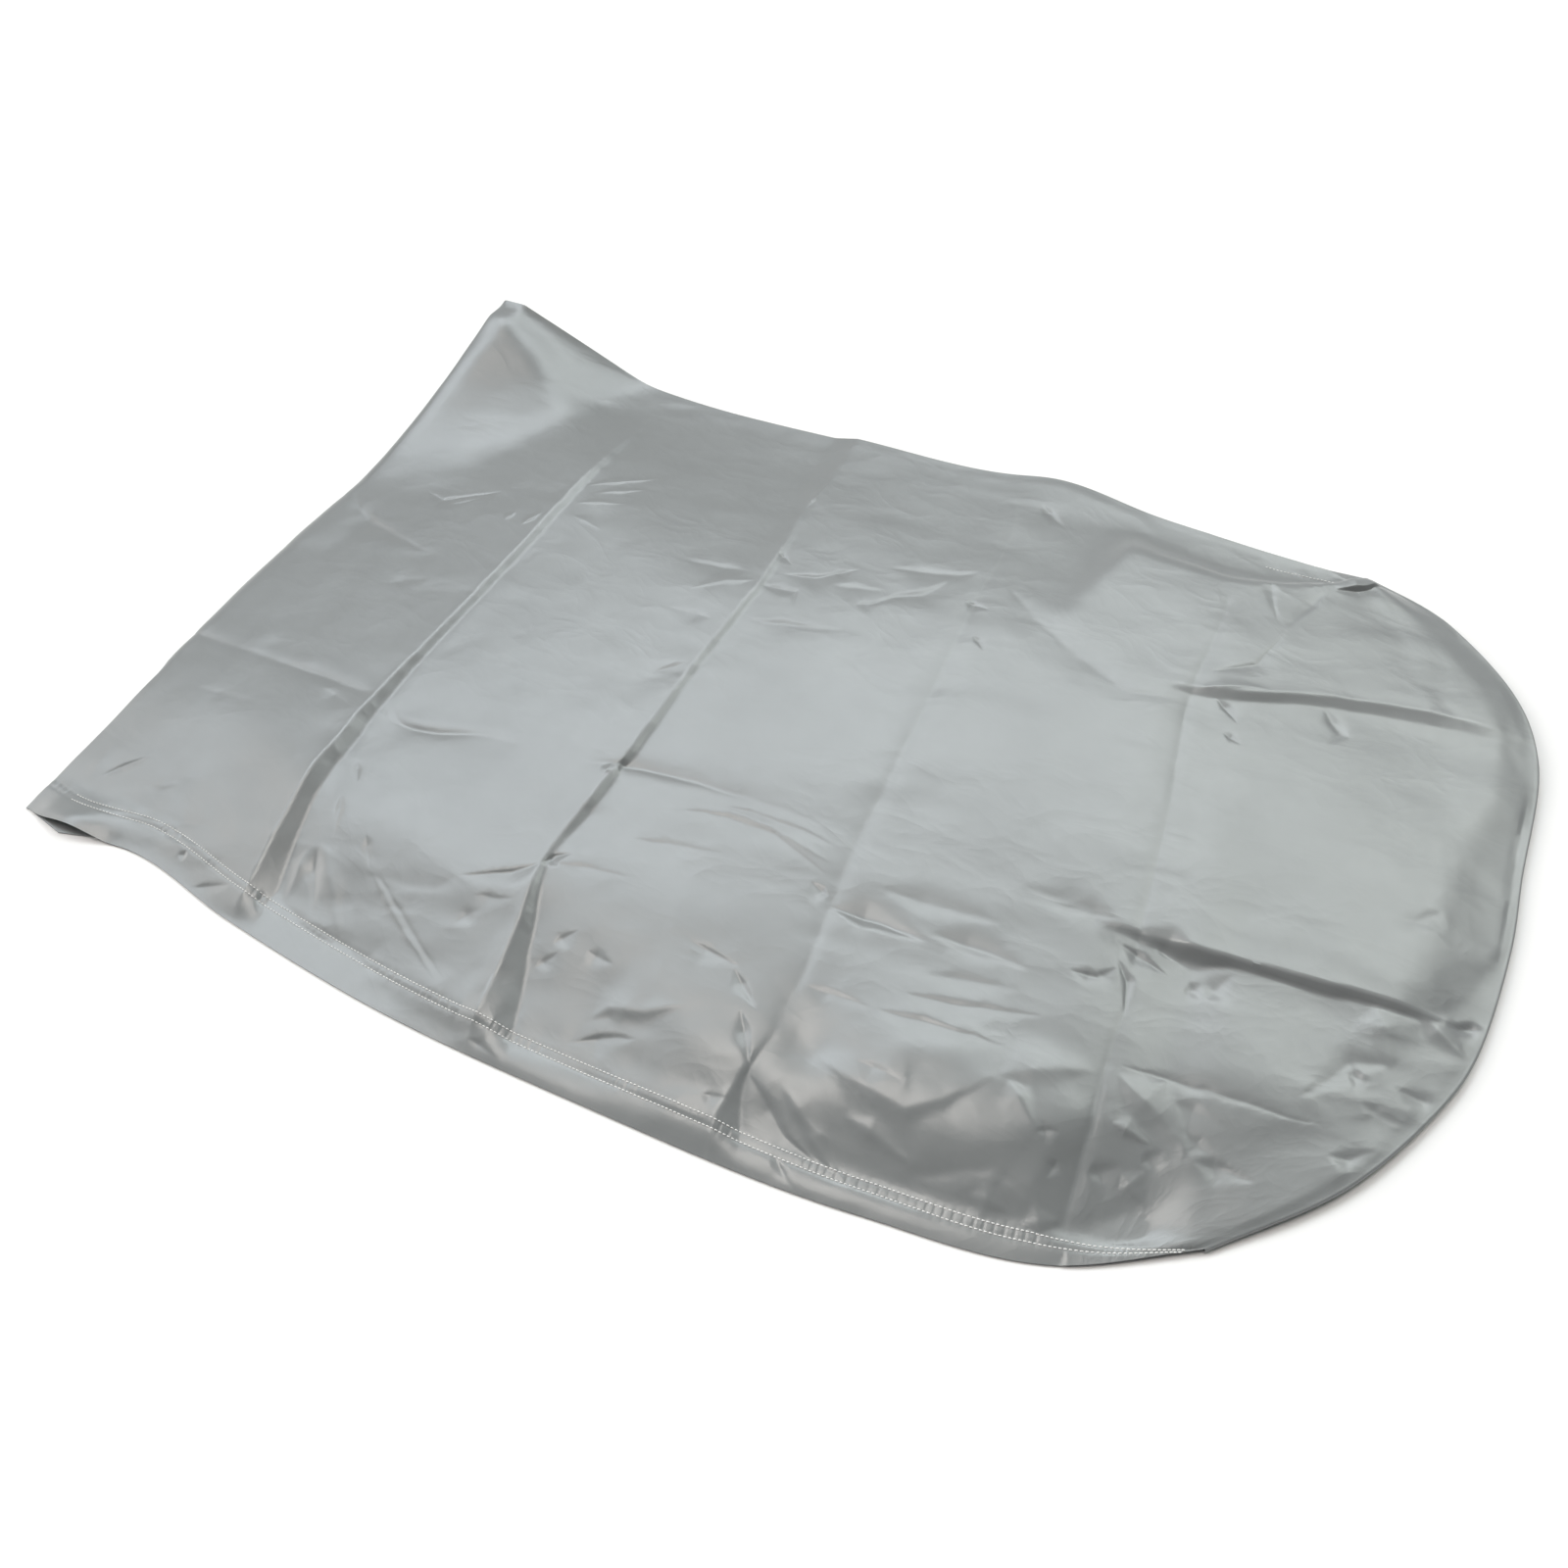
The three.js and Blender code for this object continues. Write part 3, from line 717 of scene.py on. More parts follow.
def cloth_plan(run, share, draw_in):
    """Places seen from above of points at a run of cloth from the fold, with distances to the edges."""
    along = np.minimum(run, BOW_START)
    low, high = near_hem(along), far_hem(along)
    place = np.column_stack([along, low + (high - low) * share])
    to_near = place[:, 1] - low
    to_far = high - place[:, 1]
    to_end = np.full(len(run), FAR_AWAY)
    bow = run > BOW_START
    if bow.any():
        way = np.clip((run[bow] - BOW_START) / BOW_RUN, 0, 1)
        found, outline, low_edge, high_edge = bow_plan(way, share[bow], draw_in[bow])
        place[bow] = found
        to_near[bow] = np.linalg.norm(found - low_edge, axis=1)
        to_far[bow] = np.linalg.norm(found - high_edge, axis=1)
        to_end[bow] = np.linalg.norm(found - outline, axis=1)
    return place[:, 0], place[:, 1], to_near, to_far, to_end


def curl_lift(along, across):
    """Height that the curled-up corner adds."""
    rise = np.clip((across - CURL_FROM) / (FAR_HEM[0][1] - CURL_FROM), 0, 1)
    reach = CURL_REACH + CURL_WIDENING * np.maximum(0, across - CURL_FROM)
    fall = np.minimum((reach - along) / (reach - CURL_TOP * rise), 1)
    return CURL_HEIGHT * rise**CURL_POWER * (fall + np.sqrt(fall**2 + CURL_SOFTNESS)) / 2


def past_tip(distance):
    """Distance from a line, rounded over at the line itself."""
    return np.sqrt(distance**2 + LINE_TIP**2)


def line_profile(distance, rise, left_reach, right_reach):
    """Height of a ridge, or of a trough if the rise is less than nothing, beside its line."""
    away = past_tip(distance) - LINE_TIP
    return rise * np.exp(-away / np.where(distance < 0, left_reach, right_reach))


def roof_profile(distance, strength, left_width, right_width):
    """Height of two flat facets that meet on a line and run out where its strength does."""
    away = past_tip(distance) - LINE_TIP
    return np.maximum(strength - away / np.where(distance < 0, left_width, right_width), 0)


def step_profile(distance, drop, facet):
    """Height beside a sharp edge, with a facet that falls on its right, and panels that level out again."""
    fallen = 0.5 + (past_tip(distance) - past_tip(distance - facet)) / (2 * facet)
    above = PANEL_LIFT * np.exp(np.minimum(distance, 0) / PANEL_REACH[0])
    below = (1 - PANEL_LIFT) * np.exp(np.minimum(facet - distance, 0) / PANEL_REACH[1])
    return drop * (above * (1 - fallen) - below * fallen)


def line_distance(points, along, across):
    """Distance to a line, less than nothing on its left, and the share of the line at the nearest place."""
    corners = np.array(points, float)
    legs = np.diff(corners, axis=0)
    lengths = np.linalg.norm(legs, axis=1)
    starts = np.cumsum(lengths) - lengths
    nearest = np.full(len(along), np.inf)
    signed = np.zeros(len(along))
    share = np.zeros(len(along))
    for corner, leg, length, start in zip(corners, legs, lengths, starts):
        from_along = along - corner[0]
        from_across = across - corner[1]
        part = np.clip((from_along * leg[0] + from_across * leg[1]) / length**2, 0, 1)
        away = np.hypot(from_along - part * leg[0], from_across - part * leg[1])
        nearer = away < nearest
        nearest[nearer] = away[nearer]
        side = np.where(from_along * leg[1] < from_across * leg[0], -1, 1)
        signed[nearer] = (away * side)[nearer]
        share[nearer] = (start + part * length)[nearer] / lengths.sum()
    return signed, share


def near_line(points, along, across, margin):
    """Which places lie in the box of a line's points, widened by a margin."""
    low = np.min(points, axis=0) - margin
    high = np.max(points, axis=0) + margin
    return (along > low[0]) & (along < high[0]) & (across > low[1]) & (across < high[1])


def crease_lines(along, across):
    """For each crease, how far places are from its line, and its heights and reaches there."""
    for creases, place, away, way in ((CROSS_CREASES, across, along, 1), (LONG_CREASES, along, across, -1)):
        for number, rows in enumerate(creases):
            line, *shape = through(rows, place)
            kink = CREASE_KINK * cloth_noise(place, np.zeros(len(place)), CREASE_KINK_PITCH, number)
            yield (away - line - kink) * way, shape


def crease_heights(along, across):
    """Height that the creases and swells add."""
    total = np.zeros(len(along))
    for distance, (rise, left_reach, right_reach, drop, facet) in crease_lines(along, across):
        total += line_profile(distance, rise, left_reach, right_reach) + step_profile(distance, drop, facet)
    for mid_along, mid_across, span_along, span_across, rise in SWELLS:
        spread = ((along - mid_along) / span_along) ** 2 + ((across - mid_across) / span_across) ** 2
        total += rise * np.exp(-spread)
    return total


def uneven_heights(along, across):
    """Height that the cloth's unevenness adds."""
    total = np.zeros(len(along))
    for row, (pitch_along, pitch_across, turn, height) in enumerate(UNEVENNESS):
        cos, sin = math.cos(math.radians(turn)), math.sin(math.radians(turn))
        turned = (along * cos + across * sin, across * cos - along * sin)
        seed = UNEVEN_SEED + UNEVEN_SEED_STEP * row
        total += height * facet_noise(*turned, (pitch_along, pitch_across), seed)
    return total


def wrinkle_heights(along, across):
    """Height that the listed wrinkles add."""
    total = np.zeros(len(along))
    for seed, (rise, left_width, right_width, *points) in enumerate(WRINKLES):
        beside = near_line(points, along, across, max(left_width, right_width))
        spots = along[beside], across[beside]
        distance, share = line_distance(points, *spots)
        distance += WRINKLE_KINK * cloth_noise(*spots, WRINKLE_KINK_PITCH, seed)
        strength = np.minimum(share / WRINKLE_START, (1 - share) / (1 - WRINKLE_START))
        total[beside] += rise * roof_profile(distance, strength, left_width, right_width)
    return total


def stitch_rows(along):
    """Distances of the two stitch rows from the near edge."""
    first = STITCH_ROWS[0] * straight(HEM_NARROWING, along)
    return first, first + np.minimum(STITCH_ROWS[1] - STITCH_ROWS[0], first / 2)


def hem_relief(along, to_edge, rows):
    """The dips along a hem's stitch rows, and the puckers between them."""
    dips = sum(np.exp(-((to_edge - row) / STITCH_DIP_WIDTH) ** 2) for row in rows)
    beside = np.exp(-((to_edge - sum(rows) / 2) / PUCKER_REACH) ** 2)
    drift = cloth_noise(along, np.zeros(len(along)), (PUCKER_DRIFT_PITCH, 1), PUCKER_SEED)
    wave = np.sin(np.pi * (along / PUCKER_PITCH + PUCKER_DRIFT * drift))
    puckers = np.exp(-((wave / PUCKER_SHARPNESS) ** 2)) * smoothstep(drift, *PUCKER_CLUSTERS)
    return -STITCH_DIP * dips - PUCKER_HEIGHT * puckers * beside


def mouth_share(along):
    """How far the upper hem stands open beside the fold: nothing at the fold, then most, then nothing."""
    return np.sin(np.pi * np.clip(along / MOUTH_WIDTH, 0, 1)) ** 2


def far_slope(along, to_far):
    """How far up the slope from the far hem places are, from 0 to 1."""
    return smoothstep(to_far - straight(FAR_LEDGE, along), 0, straight(FAR_FALL, along))


def deck_height(along, to_near, to_far):
    """Height of the upper half's outer face, without its relief."""
    hem = HEM_HEIGHT + straight(HEM_TILT, along) * np.clip(to_near / stitch_rows(along)[1], 0, 1)
    deck_share = ramp(to_near, 0, through(NEAR_SKIRT, along)[0]) * far_slope(along, to_far)
    height = hem + (straight(DECK_HEIGHT, along) - hem) * deck_share
    return height + MOUTH_RISE * mouth_share(along) * (1 - smoothstep(to_near, 0, MOUTH_DEPTH))


def deck_relief(along, across, to_near, to_far, to_end):
    """Height that creases, wrinkles, unevenness and the hem's stitching add to the upper half."""
    end_share = smoothstep(to_end, 0, HEM_WIDTH / 2)
    crease_share = smoothstep(to_near, 0, HEM_WIDTH) * far_slope(along, to_far)
    crease_share *= smoothstep(to_end, 0, CREASE_FADE)
    edge_share = smoothstep(np.minimum(to_near, to_far), 0, HEM_WIDTH / 2) * end_share
    rough = 1 + (ROUGHER - 1) * (1 - smoothstep(np.minimum(to_near, to_end), *ROUGHER_SPAN))
    relief = crease_heights(along, across) * crease_share
    relief += (wrinkle_heights(along, across) + rough * uneven_heights(along, across)) * edge_share
    stitched = hem_relief(along, to_near, stitch_rows(along)) + hem_relief(along, to_far, STITCH_ROWS)
    return relief + stitched * end_share


def upper_points(run, share):
    """The upper half of the cloth, with its rolled bow end."""
    radius = along_bow(ROLL_RADIUS, share)
    along, across, to_near, to_far, to_end = cloth_plan(run, share, radius)
    end_height = straight(END_HEIGHT, share)
    height = deck_height(along, to_near, to_far)
    height = end_height + (height - end_height) * ramp(to_end, 0, straight(END_FALL, share))
    height += deck_relief(along, across, to_near, to_far, to_end)
    height = np.maximum(height, LEAST_HEIGHT) + curl_lift(along, across)
    across = across + MOUTH_BACK * mouth_share(along) * np.exp(-to_near / MOUTH_DEPTH)
    turn = np.pi * np.clip((run - BOW_STOP) / ROLL_RUN, 0, 1)
    lip = np.clip((run - BOW_STOP - ROLL_RUN) / LIP_RUN, 0, 1) * along_bow(LIP_LENGTH, share)
    out = radius * np.sin(turn) - lip
    outward = at_bow(BOW_OUTWARD, share)
    return np.column_stack([
        along + outward[:, 0] * out,
        across + outward[:, 1] * out,
        height - radius * (1 - np.cos(turn)),
    ])


def lower_points(back, share):
    """The lower half, flat on the floor but for the curled corner, drawn in a little under the upper one."""
    inset = np.full(len(back), float(LOWER_INSET))
    along, across, to_near, to_far, _ = cloth_plan(back, share, inset)
    inset = LOWER_INSET * smoothstep(along, *INSET_SPAN)
    across = across + inset * (to_far - to_near) / (to_far + to_near)
    return np.column_stack([along, across, CURL_LOWER_SHARE * curl_lift(along, across)])


def cloth_points(run, share):
    """Where each point of the cloth lies, from its run along the cloth and its share of the width."""
    points = np.zeros((len(run), 3))
    lower = run <= -FOLD_RUN
    upper = run >= 0
    turn = ~(lower | upper)
    points[lower] = lower_points(-FOLD_RUN - run[lower], share[lower])
    points[upper] = upper_points(run[upper], share[upper])
    start = np.zeros(turn.sum())
    low = lower_points(start, share[turn])
    high = upper_points(start, share[turn])
    angle = np.pi * (run[turn] + FOLD_RUN) / FOLD_RUN
    middle = (low + high) / 2
    middle[:, 0] -= straight(FOLD_BULGE, middle[:, 1]) * np.sin(angle)
    middle[:, 2] -= (high - low)[:, 2] / 2 * np.cos(angle)
    points[turn] = middle
    return points


def crease_wear_and_glint(run, share):
    """How pale the cloth is made along crease lines, from 0 to 1: partly worn coating, partly painted glints
    of light on their ridges.
    """
    wear_and_glint = np.zeros(len(run))
    upper = (run > 0) & (run < BOW_STOP)
    along, across, *_ = cloth_plan(run[upper], share[upper], np.zeros(upper.sum()))
    worn_and_glinting = np.zeros(len(along))
    for distance, (rise, _, _, drop, _) in crease_lines(along, across):
        sharp = np.clip((np.abs(rise) + drop) / CREASE_WEAR_AND_GLINT_FULL, 0, 1)
        worn_and_glinting = np.maximum(worn_and_glinting, sharp * np.exp(-((distance / CREASE_WEAR_AND_GLINT_WIDTH) ** 2)))
    least, more = CREASE_WEAR_AND_GLINT_PATCHES
    patches = cloth_noise(along, across, CREASE_WEAR_AND_GLINT_PITCH, CREASE_WEAR_AND_GLINT_SEED)
    # Paler lines on the creases: partly worn coating, partly painted highlights where light glints on the
    # ridges
    wear_and_glint[upper] = worn_and_glinting * (least + more * patches)
    return wear_and_glint


def model_points(points):
    """Millimetres in the lay to metres in the model."""
    return (points - np.array([*LAY_CENTRE, 0])) * MM


def needed_cells(run, share):
    """The size of cell that the cloth needs at each place, small near creases and stitching."""
    need = np.full(len(run), float(CELL))
    upper = (run > -FOLD_RUN) & (run < BOW_STOP)
    spot = np.maximum(run[upper], 0)
    draw_in = np.full(len(spot), float(EDGE_DRAW_IN))
    along, across, to_near, to_far, to_end = cloth_plan(spot, share[upper], draw_in)
    fine = np.full(len(spot), float(CELL))
    fine[(to_near < NEAR_BAND) | (np.minimum(to_far, to_end) < BESIDE_LINE)] = CELL / 2
    fine[np.abs(to_near - sum(stitch_rows(along)) / 2) < PUCKER_REACH + STITCH_DIP_WIDTH] = CELL / 8
    for distance, (rise, _, _, drop, facet) in crease_lines(along, across):
        strong = np.abs(rise) + drop > LEAST_RISE
        to_foot = np.where(drop > LEAST_DROP, np.abs(distance - facet), np.inf)
        size = np.where((distance > -BESIDE_LINE) & (distance < facet + BESIDE_LINE), CELL / 2, CELL)
        size[np.minimum(np.abs(distance), to_foot) < CLOSE_TO_LINE] = CELL / 4
        fine = np.where(strong, np.minimum(fine, size), fine)
    for _, left_width, right_width, *points in WRINKLES:
        beside = np.flatnonzero(near_line(points, along, across, BESIDE_LINE))
        distance = np.abs(line_distance(points, along[beside], across[beside])[0])
        size = np.where(distance < BESIDE_WRINKLE, CELL / 2, CELL)
        size[distance < CLOSE_TO_LINE] = CELL / 4
        if min(left_width, right_width) <= SHARP_WIDTH:
            size[distance < ON_LINE] = CELL / 8
        fine[beside] = np.minimum(fine[beside], size)
    need[upper] = fine
    return need


def flat_cloth_mesh():
    """The cloth as a flat grid of run and share, with its cells halved where more are needed."""
    lower = np.linspace(-FOLD_RUN - BOW_STOP, -FOLD_RUN, LOWER_ROWS)
    fold = np.linspace(-FOLD_RUN, 0, FOLD_ROWS)
    upper = np.append(np.linspace(0, BOW_STOP - RIM_ROW, round(BOW_STOP / CELL)), BOW_STOP)
    roll = np.linspace(BOW_STOP, BOW_STOP + ROLL_RUN, ROLL_ROWS)
    lip = np.linspace(BOW_STOP + ROLL_RUN, BOW_STOP + ROLL_RUN + LIP_RUN, LIP_ROWS)
    runs = np.concatenate([lower, fold[1:], upper[1:], roll[1:], lip[1:]])
    shares = np.linspace(0, 1, COLUMNS)
    flat = bmesh.new()
    grid = [[flat.verts.new((run, share, 0)) for share in shares] for run in runs]
    for row, next_row in zip(grid, grid[1:]):
        for k in range(COLUMNS - 1):
            flat.faces.new((row[k], next_row[k], next_row[k + 1], row[k + 1]))
    for step in range(FINE_PASSES):
        faces = list(flat.faces)
        middles = np.array([f.calc_center_median()[:2] for f in faces])
        need = needed_cells(middles[:, 0], middles[:, 1])
        limit = CELL_SLACK * CELL / 2**step
        edges = {e for f, size in zip(faces, need) if size < limit for e in f.edges}
        bmesh.ops.subdivide_edges(flat, edges=list(edges), cuts=1, use_grid_fill=True, use_single_edge=True)
    return flat


def cloth_mesh():
    """The cloth as it lies, with its map and its paler crease lines of wear and painted glints."""
    flat = flat_cloth_mesh()
    spots = np.array([v.co[:2] for v in flat.verts])
    points = model_points(cloth_points(spots[:, 0], spots[:, 1]))
    for vert, point in zip(flat.verts, points):
        vert.co = point
    mesh = bpy.data.meshes.new("cover")
    flat.to_mesh(mesh)
    flat.free()
    corners = np.zeros(len(mesh.loops), int)
    mesh.loops.foreach_get("vertex_index", corners)
    cut = spots[corners] * (MM, FLAT_SIZE[0])
    mesh.uv_layers.new(name=CLOTH_UV).data.foreach_set("uv", cut.ravel())
    # Paler crease lines: partly worn coating, partly painted glints of light
    wear_and_glint = mesh.attributes.new(CREASE_WEAR_AND_GLINT, "FLOAT", "POINT")
    wear_and_glint.data.foreach_set("value", crease_wear_and_glint(spots[:, 0], spots[:, 1]))
    return mesh


def share_at(run, to_edge, far):
    """Shares of the width at which points with these runs lie a distance in from the near or the far edge."""
    steps = np.linspace(0, STITCH_SEARCH, STITCH_SEARCH_STEPS)
    shares = 1 - steps if far else steps
    draw_in = np.full(len(steps), float(EDGE_DRAW_IN))
    found = np.zeros(len(run))
    for k, at in enumerate(run):
        _, _, to_near, to_far, _ = cloth_plan(np.full(len(steps), at), shares, draw_in)
        found[k] = np.interp(to_edge[k], to_far if far else to_near, shares)
    return found


def stitch_row(span, row, far):
    """Middles, directions and normals of the stitches in a row along a hem, in the lay."""
    last_along = BOW_END[-1][0] if far else BOW_END[0][0]
    along = np.arange(span[0], span[1], STITCH_PITCH)
    past = np.maximum(along - BOW_START, 0)
    run = np.minimum(along, BOW_START) + past * BOW_RUN / (last_along - BOW_START)
    to_edge = np.full(len(run), STITCH_ROWS[row]) if far else stitch_rows(along)[row]
    share = share_at(run, to_edge, far)
    middle = cloth_points(run, share)
    direction = np.gradient(middle, axis=0)
    inward = cloth_points(run, share + STITCH_SIDE_STEP) - cloth_points(run, share - STITCH_SIDE_STEP)
    normal = np.cross(direction, inward)
    direction /= np.linalg.norm(direction, axis=1)[:, None]
    normal /= np.linalg.norm(normal, axis=1)[:, None]
    return middle, direction, normal


def stitch_mesh():
    """Every stitch of the hem as one mesh: a bar of thread for each, with its ends drawn into the cloth."""
    rows = ((NEAR_STITCHES, 0, False), (NEAR_STITCHES, 1, False), (FAR_STITCHES, 0, True))
    parts = [stitch_row(*row) for row in rows]
    middle, direction, normal = (np.concatenate(column) for column in zip(*parts))
    across = np.cross(normal, direction)
    sides = STITCH_SIDES
    turns = np.arange(sides) * 2 * math.pi / sides
    corners = []
    for place, lift, girth in STITCH_RINGS:
        for turn in turns:
            side = across * math.cos(turn) * girth * STITCH_THICK / 2
            up = normal * (math.sin(turn) * girth / 2 + lift) * STITCH_THICK
            corners.append(middle + direction * place * STITCH_LENGTH + side + up)
    points = model_points(np.stack(corners, axis=1).reshape(-1, 3))
    faces = [tuple(reversed(range(sides))), tuple(range(len(corners) - sides, len(corners)))]
    for ring in range(len(STITCH_RINGS) - 1):
        for k in range(sides):
            low = ring * sides
            following = (k + 1) % sides
            faces.append((low + k, low + following, low + sides + following, low + sides + k))
    every = [tuple(n * len(corners) + c for c in face) for n in range(len(middle)) for face in faces]
    mesh = bpy.data.meshes.new("stitching")
    mesh.from_pydata(points.tolist(), [], every)
    return mesh


def add_piece(context, name, mesh):
    """An object with a mesh, active and the only one selected."""
    bpy.ops.object.select_all(action="DESELECT")
    piece = bpy.data.objects.new(name, mesh)
    context.scene.collection.objects.link(piece)
    context.view_layer.objects.active = piece
    piece.select_set(True)
    return piece


def thin_inner_faces(cover):
    """Take away most of the sheet's inner faces, which hardly show, but for those along its edge."""
    bpy.ops.object.mode_set(mode="EDIT")
    bpy.ops.mesh.select_mode(type="FACE")
    bpy.ops.mesh.select_all(action="DESELECT")
    cover.active_material_index = 1
    bpy.ops.object.material_slot_select()
    bpy.ops.mesh.select_less()
    bpy.ops.mesh.decimate(ratio=INNER_SHARE)
    bpy.ops.object.mode_set(mode="OBJECT")
    bpy.ops.object.material_slot_remove()


def add_node(tree, kind, inputs=None, **settings):
    """Add a shader node with its settings, fill or link its inputs, and give its outputs."""
    node = tree.nodes.new("ShaderNode" + kind)
    for name, value in settings.items():
        setattr(node, name, value)
    for name, value in (inputs or {}).items():
        if isinstance(value, bpy.types.NodeSocket):
            tree.links.new(value, node.inputs[name])
        else:
            node.inputs[name].default_value = value
    return node.outputs


def new_material(name):
    """An empty node material and its tree."""
    material = bpy.data.materials.new(name)
    material.use_nodes = True
    material.node_tree.nodes.clear()
    return material, material.node_tree


def coated_taffeta(finish):
    """Polyester taffeta with a silver coating, which gives the eye a flat satin grey, with creases paled by
    wear and by painted glints.
    """
    material, tree = new_material("silver_coated_polyester_taffeta")
    place = add_node(tree, "UVMap", uv_map=CLOTH_UV)[0]
    mottle = add_node(tree, "TexNoise", {
        "Vector": place, "Scale": 1 / (MOTTLE_PITCH * MM), "Detail": 3, "Roughness": 0.6,
    })[0]
    wear_and_glint = add_node(tree, "Attribute", attribute_name=CREASE_WEAR_AND_GLINT)["Fac"]
    shade = add_node(tree, "MapRange", {
        "Value": mottle, "To Min": MOTTLE_SHADE[0], "To Max": MOTTLE_SHADE[1],
    })[0]
    # The base colour is made paler along crease lines, partly for worn coating and partly as painted glints
    # of light on their ridges
    worn_and_glinting = add_node(tree, "Math", {0: wear_and_glint, 1: CREASE_WEAR_AND_GLINT_PALER, 2: shade}, operation="MULTIPLY_ADD")[0]
    colour = add_node(tree, "VectorMath", {0: finish.cloth_colour[:3], "Scale": worn_and_glinting}, operation="SCALE")[0]
    crinkle = add_node(tree, "TexNoise", {
        "Vector": place, "Scale": 1 / (CRINKLE_PITCH * MM), "Detail": 4, "Roughness": 0.55, "Distortion": 0.6,
    })[0]
    stretched = add_node(tree, "Mapping", {
        "Vector": place, "Scale": [1 / (pitch * MM) for pitch in (*FINE_CREASE_PITCH, FINE_CREASE_PITCH[0])],
    })[0]
    creasing = add_node(tree, "TexNoise", {
        "Vector": stretched, "Scale": 1, "Detail": 2, "Roughness": 0.5, "Distortion": 0.4, "Offset": 1,
        "Gain": 2,
    }, noise_type="RIDGED_MULTIFRACTAL")[0]
    warp, weft = (
        add_node(tree, "TexWave", {
            "Vector": place, "Scale": WAVE_SCALE / (WEAVE_PITCH * MM),
        }, bands_direction=direction)["Fac"]
        for direction in ("X", "Y")
    )
    weave = add_node(tree, "Math", {0: warp, 1: weft}, operation="MULTIPLY")[0]
    coarse = add_node(tree, "Math", {0: crinkle, 1: CRINKLE_SHARE, 2: creasing}, operation="MULTIPLY_ADD")[0]
    relief = add_node(tree, "Math", {0: weave, 1: WEAVE_SHARE, 2: coarse}, operation="MULTIPLY_ADD")[0]
    bump = add_node(tree, "Bump", {"Height": relief, "Distance": FINE_CREASE_HEIGHT * MM})[0]
    rough = add_node(tree, "MapRange", {
        "Value": crinkle,
        "To Min": finish.cloth_roughness - ROUGHNESS_SPREAD,
        "To Max": finish.cloth_roughness + ROUGHNESS_SPREAD,
    })[0]
    shader = add_node(tree, "BsdfPrincipled", {
        "Base Color": colour, "Metallic": finish.cloth_metallic, "Roughness": rough, "Normal": bump,
    })[0]
    add_node(tree, "OutputMaterial", {"Surface": shader})
    return material


def sewing_thread(finish):
    """Spun polyester thread, which gives the eye short matt white dashes with a slight twist."""
    material, tree = new_material("white_polyester_thread")
    place = add_node(tree, "TexCoord")["Object"]
    twist = add_node(tree, "TexWave", {
        "Vector": place, "Scale": WAVE_SCALE / (THREAD_TWIST * MM), "Distortion": 1,
    }, bands_direction="DIAGONAL")["Fac"]
    bump = add_node(tree, "Bump", {"Height": twist, "Distance": THREAD_TWIST_HEIGHT * MM})[0]
    shader = add_node(tree, "BsdfPrincipled", {
        "Base Color": finish.thread_colour, "Roughness": 0.8, "Normal": bump,
    })[0]
    add_node(tree, "OutputMaterial", {"Surface": shader})
    return material


def add_distant_light(name, turn, height, spread, strength, colour):
    """A wide soft light far away, in a direction from the cover."""
    bpy.ops.object.light_add(type="SUN")
    light = bpy.context.object
    light.name = name
    light.rotation_euler = (math.radians(height - 90), 0, math.radians(-turn))
    light.data.angle = math.radians(spread)
    light.data.energy = strength
    light.data.color = linear(colour)[:3]


def studio_walls():
    """Pale walls low round the stage, under a dark ceiling."""
    world = bpy.data.worlds.new("studio")
    world.use_nodes = True
    tree = world.node_tree
    tree.nodes.clear()
    place = add_node(tree, "TexCoord")["Generated"]
    height = add_node(tree, "SeparateXYZ", {"Vector": place})["Z"]
    low, high = (math.sin(math.radians(angle)) for angle in WALL_EDGE)
    light = add_node(tree, "MapRange", {
        "Value": height, "From Min": low, "From Max": high, "To Min": WALL_LIGHT, "To Max": CEILING_LIGHT,
    })["Result"]
    shader = add_node(tree, "Background", {"Color": linear("#F2F4F6"), "Strength": light})[0]
    add_node(tree, "OutputWorld", {"Surface": shader})
    return world


class CoverSizes(bpy.types.PropertyGroup):
    """Sizes of the cover that a user would change."""

    cloth_thickness: bpy.props.FloatProperty(
        name="Cloth Thickness",
        description="Thickness of the coated cloth",
        default=1.2 * MM,
        unit="LENGTH",
    )


class CoverFinish(bpy.types.PropertyGroup):
    """Colours and finishes of the cover."""

    cloth_colour: bpy.props.FloatVectorProperty(
        name="Cloth Colour",
        description="Colour of the coated cloth",
        default=linear("#868989"),
        size=4,
        subtype="COLOR",
    )
    cloth_metallic: bpy.props.FloatProperty(
        name="Cloth Metallic",
        description="How much of the coating is metal",
        default=0.15,
        subtype="FACTOR",
    )
    cloth_roughness: bpy.props.FloatProperty(
        name="Cloth Roughness",
        description="How far the coating spreads reflections",
        default=0.31,
        subtype="FACTOR",
    )
    thread_colour: bpy.props.FloatVectorProperty(
        name="Thread Colour",
        description="Colour of the hem's stitching",
        default=linear("#EDEDEA"),
        size=4,
        subtype="COLOR",
    )


class KAYAK_COVER_OT_lay_cloth(bpy.types.Operator):
    """Lay out the doubled-over cloth with its creases"""

    bl_idname = "kayak_cover.lay_cloth"
    bl_label = "Lay Cloth"

    def execute(self, context):
        cover = add_piece(context, "cover", cloth_mesh())
        cloth = coated_taffeta(context.scene.cover_finish)
        # A second slot of the same cloth tells the inner faces from the outer ones
        cover.data.materials.append(cloth)
        cover.data.materials.append(cloth)
        solid = cover.modifiers.new("Thickness", "SOLIDIFY")
        solid.thickness = context.scene.cover_sizes.cloth_thickness
        solid.offset = -1
        solid.material_offset = 1
        bpy.ops.object.modifier_apply(modifier=solid.name)
        thin_inner_faces(cover)
        bpy.ops.object.shade_smooth_by_angle(angle=math.radians(RIM_ANGLE))
        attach(cover, "root")
        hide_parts("cover_cloth")
        return {"FINISHED"}


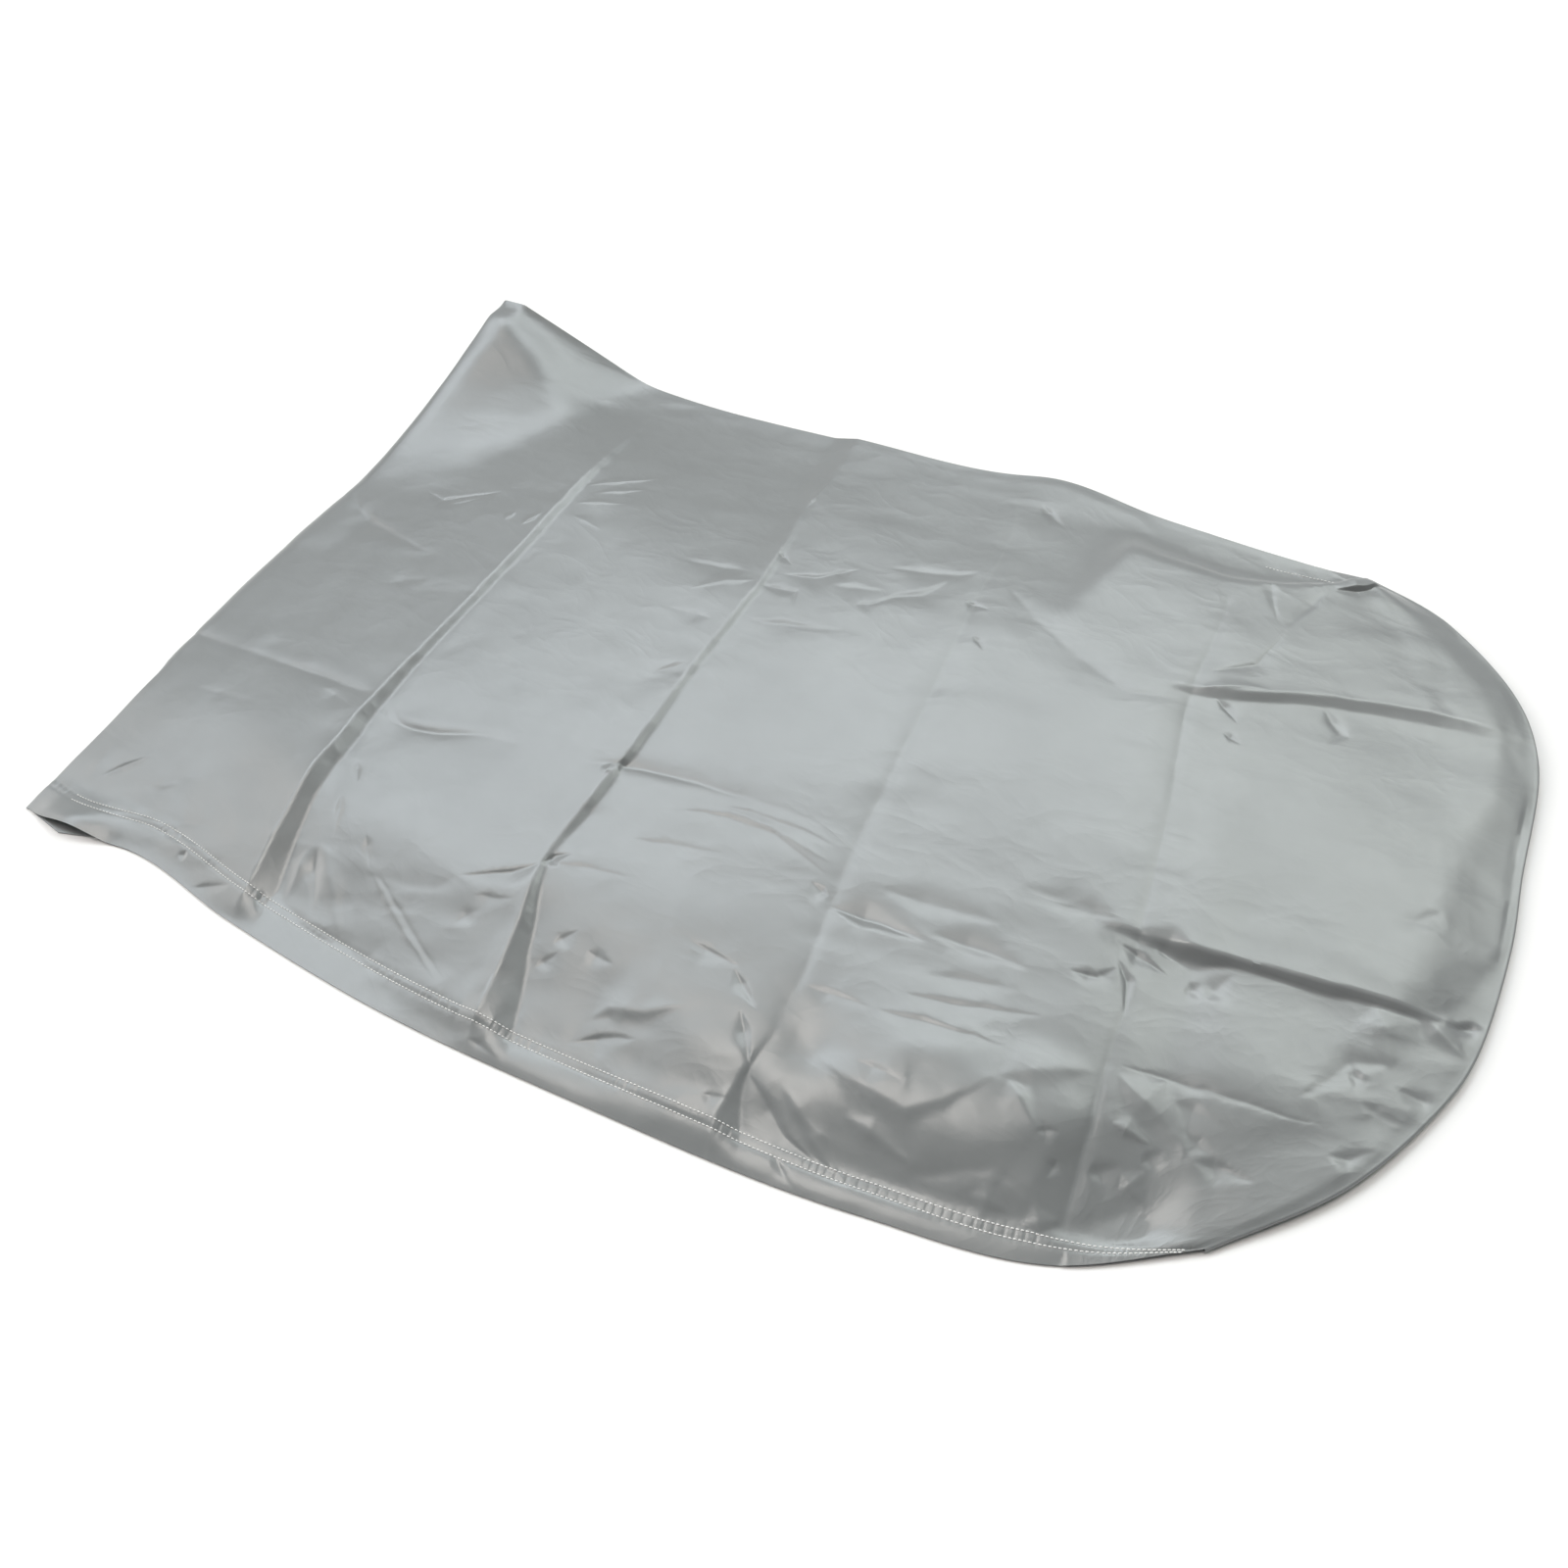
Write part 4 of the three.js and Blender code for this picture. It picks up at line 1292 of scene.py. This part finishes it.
class KAYAK_COVER_OT_sew_hem(bpy.types.Operator):
    """Sew the two rows of stitching along the hem"""

    bl_idname = "kayak_cover.sew_hem"
    bl_label = "Sew Hem"

    def execute(self, context):
        stitching = add_piece(context, "stitching", stitch_mesh())
        bpy.ops.object.shade_smooth()
        stitching.data.materials.append(sewing_thread(context.scene.cover_finish))
        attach(stitching, "root")
        return {"FINISHED"}


class KAYAK_COVER_OT_set_stage(bpy.types.Operator):
    """Set out the floor, the lights and the camera"""

    bl_idname = "kayak_cover.set_stage"
    bl_label = "Set Stage"

    def execute(self, context):
        bpy.ops.object.select_all(action="DESELECT")
        bpy.ops.mesh.primitive_plane_add(size=FLOOR_SIZE, location=(0, 0, -FLOOR_DROP))
        floor = context.object
        floor.name = "floor"
        material, tree = new_material("white_paper_floor")
        shader = add_node(tree, "BsdfPrincipled", {"Base Color": linear("#F4F4F3"), "Roughness": 0.9})[0]
        add_node(tree, "OutputMaterial", {"Surface": shader})
        floor.data.materials.append(material)
        context.scene.world = studio_walls()
        for light in LIGHTS:
            add_distant_light(*light)
        bpy.data.objects[FILL_LIGHT].visible_glossy = False
        bpy.ops.object.camera_add(location=CAMERA_PLACE)
        camera = context.object
        camera.rotation_euler = (math.radians(CAMERA_TILT), 0, math.radians(CAMERA_TURN))
        camera.data.lens = CAMERA_LENS
        camera.data.sensor_width = CAMERA_SENSOR
        context.scene.camera = camera
        context.scene.view_settings.view_transform = "Standard"
        return {"FINISHED"}


class KAYAK_COVER_PT_build(bpy.types.Panel):
    """Steps and settings of the kayak cover"""

    bl_idname = "KAYAK_COVER_PT_build"
    bl_label = "Kayak Cover"
    bl_space_type = "VIEW_3D"
    bl_region_type = "UI"
    bl_category = "Kayak Cover"

    def draw(self, context):
        layout = self.layout
        layout.operator(KAYAK_COVER_OT_lay_cloth.bl_idname)
        layout.operator(KAYAK_COVER_OT_sew_hem.bl_idname)
        layout.operator(KAYAK_COVER_OT_set_stage.bl_idname)
        layout.prop(context.scene.cover_sizes, "cloth_thickness")
        for name in ("cloth_colour", "cloth_metallic", "cloth_roughness", "thread_colour"):
            layout.prop(context.scene.cover_finish, name)


CLASSES = (
    CoverSizes,
    CoverFinish,
    KAYAK_COVER_OT_lay_cloth,
    KAYAK_COVER_OT_sew_hem,
    KAYAK_COVER_OT_set_stage,
    KAYAK_COVER_PT_build,
)


def register():
    for cls in CLASSES:
        bpy.utils.register_class(cls)
    bpy.types.Scene.cover_sizes = bpy.props.PointerProperty(type=CoverSizes)
    bpy.types.Scene.cover_finish = bpy.props.PointerProperty(type=CoverFinish)


def unregister():
    del bpy.types.Scene.cover_finish
    del bpy.types.Scene.cover_sizes
    for cls in reversed(CLASSES):
        bpy.utils.unregister_class(cls)


def main():
    register()
    bpy.ops.kayak_cover.lay_cloth()
    bpy.ops.kayak_cover.sew_hem()
    bpy.ops.kayak_cover.set_stage()


if __name__ == "__main__":
    main()
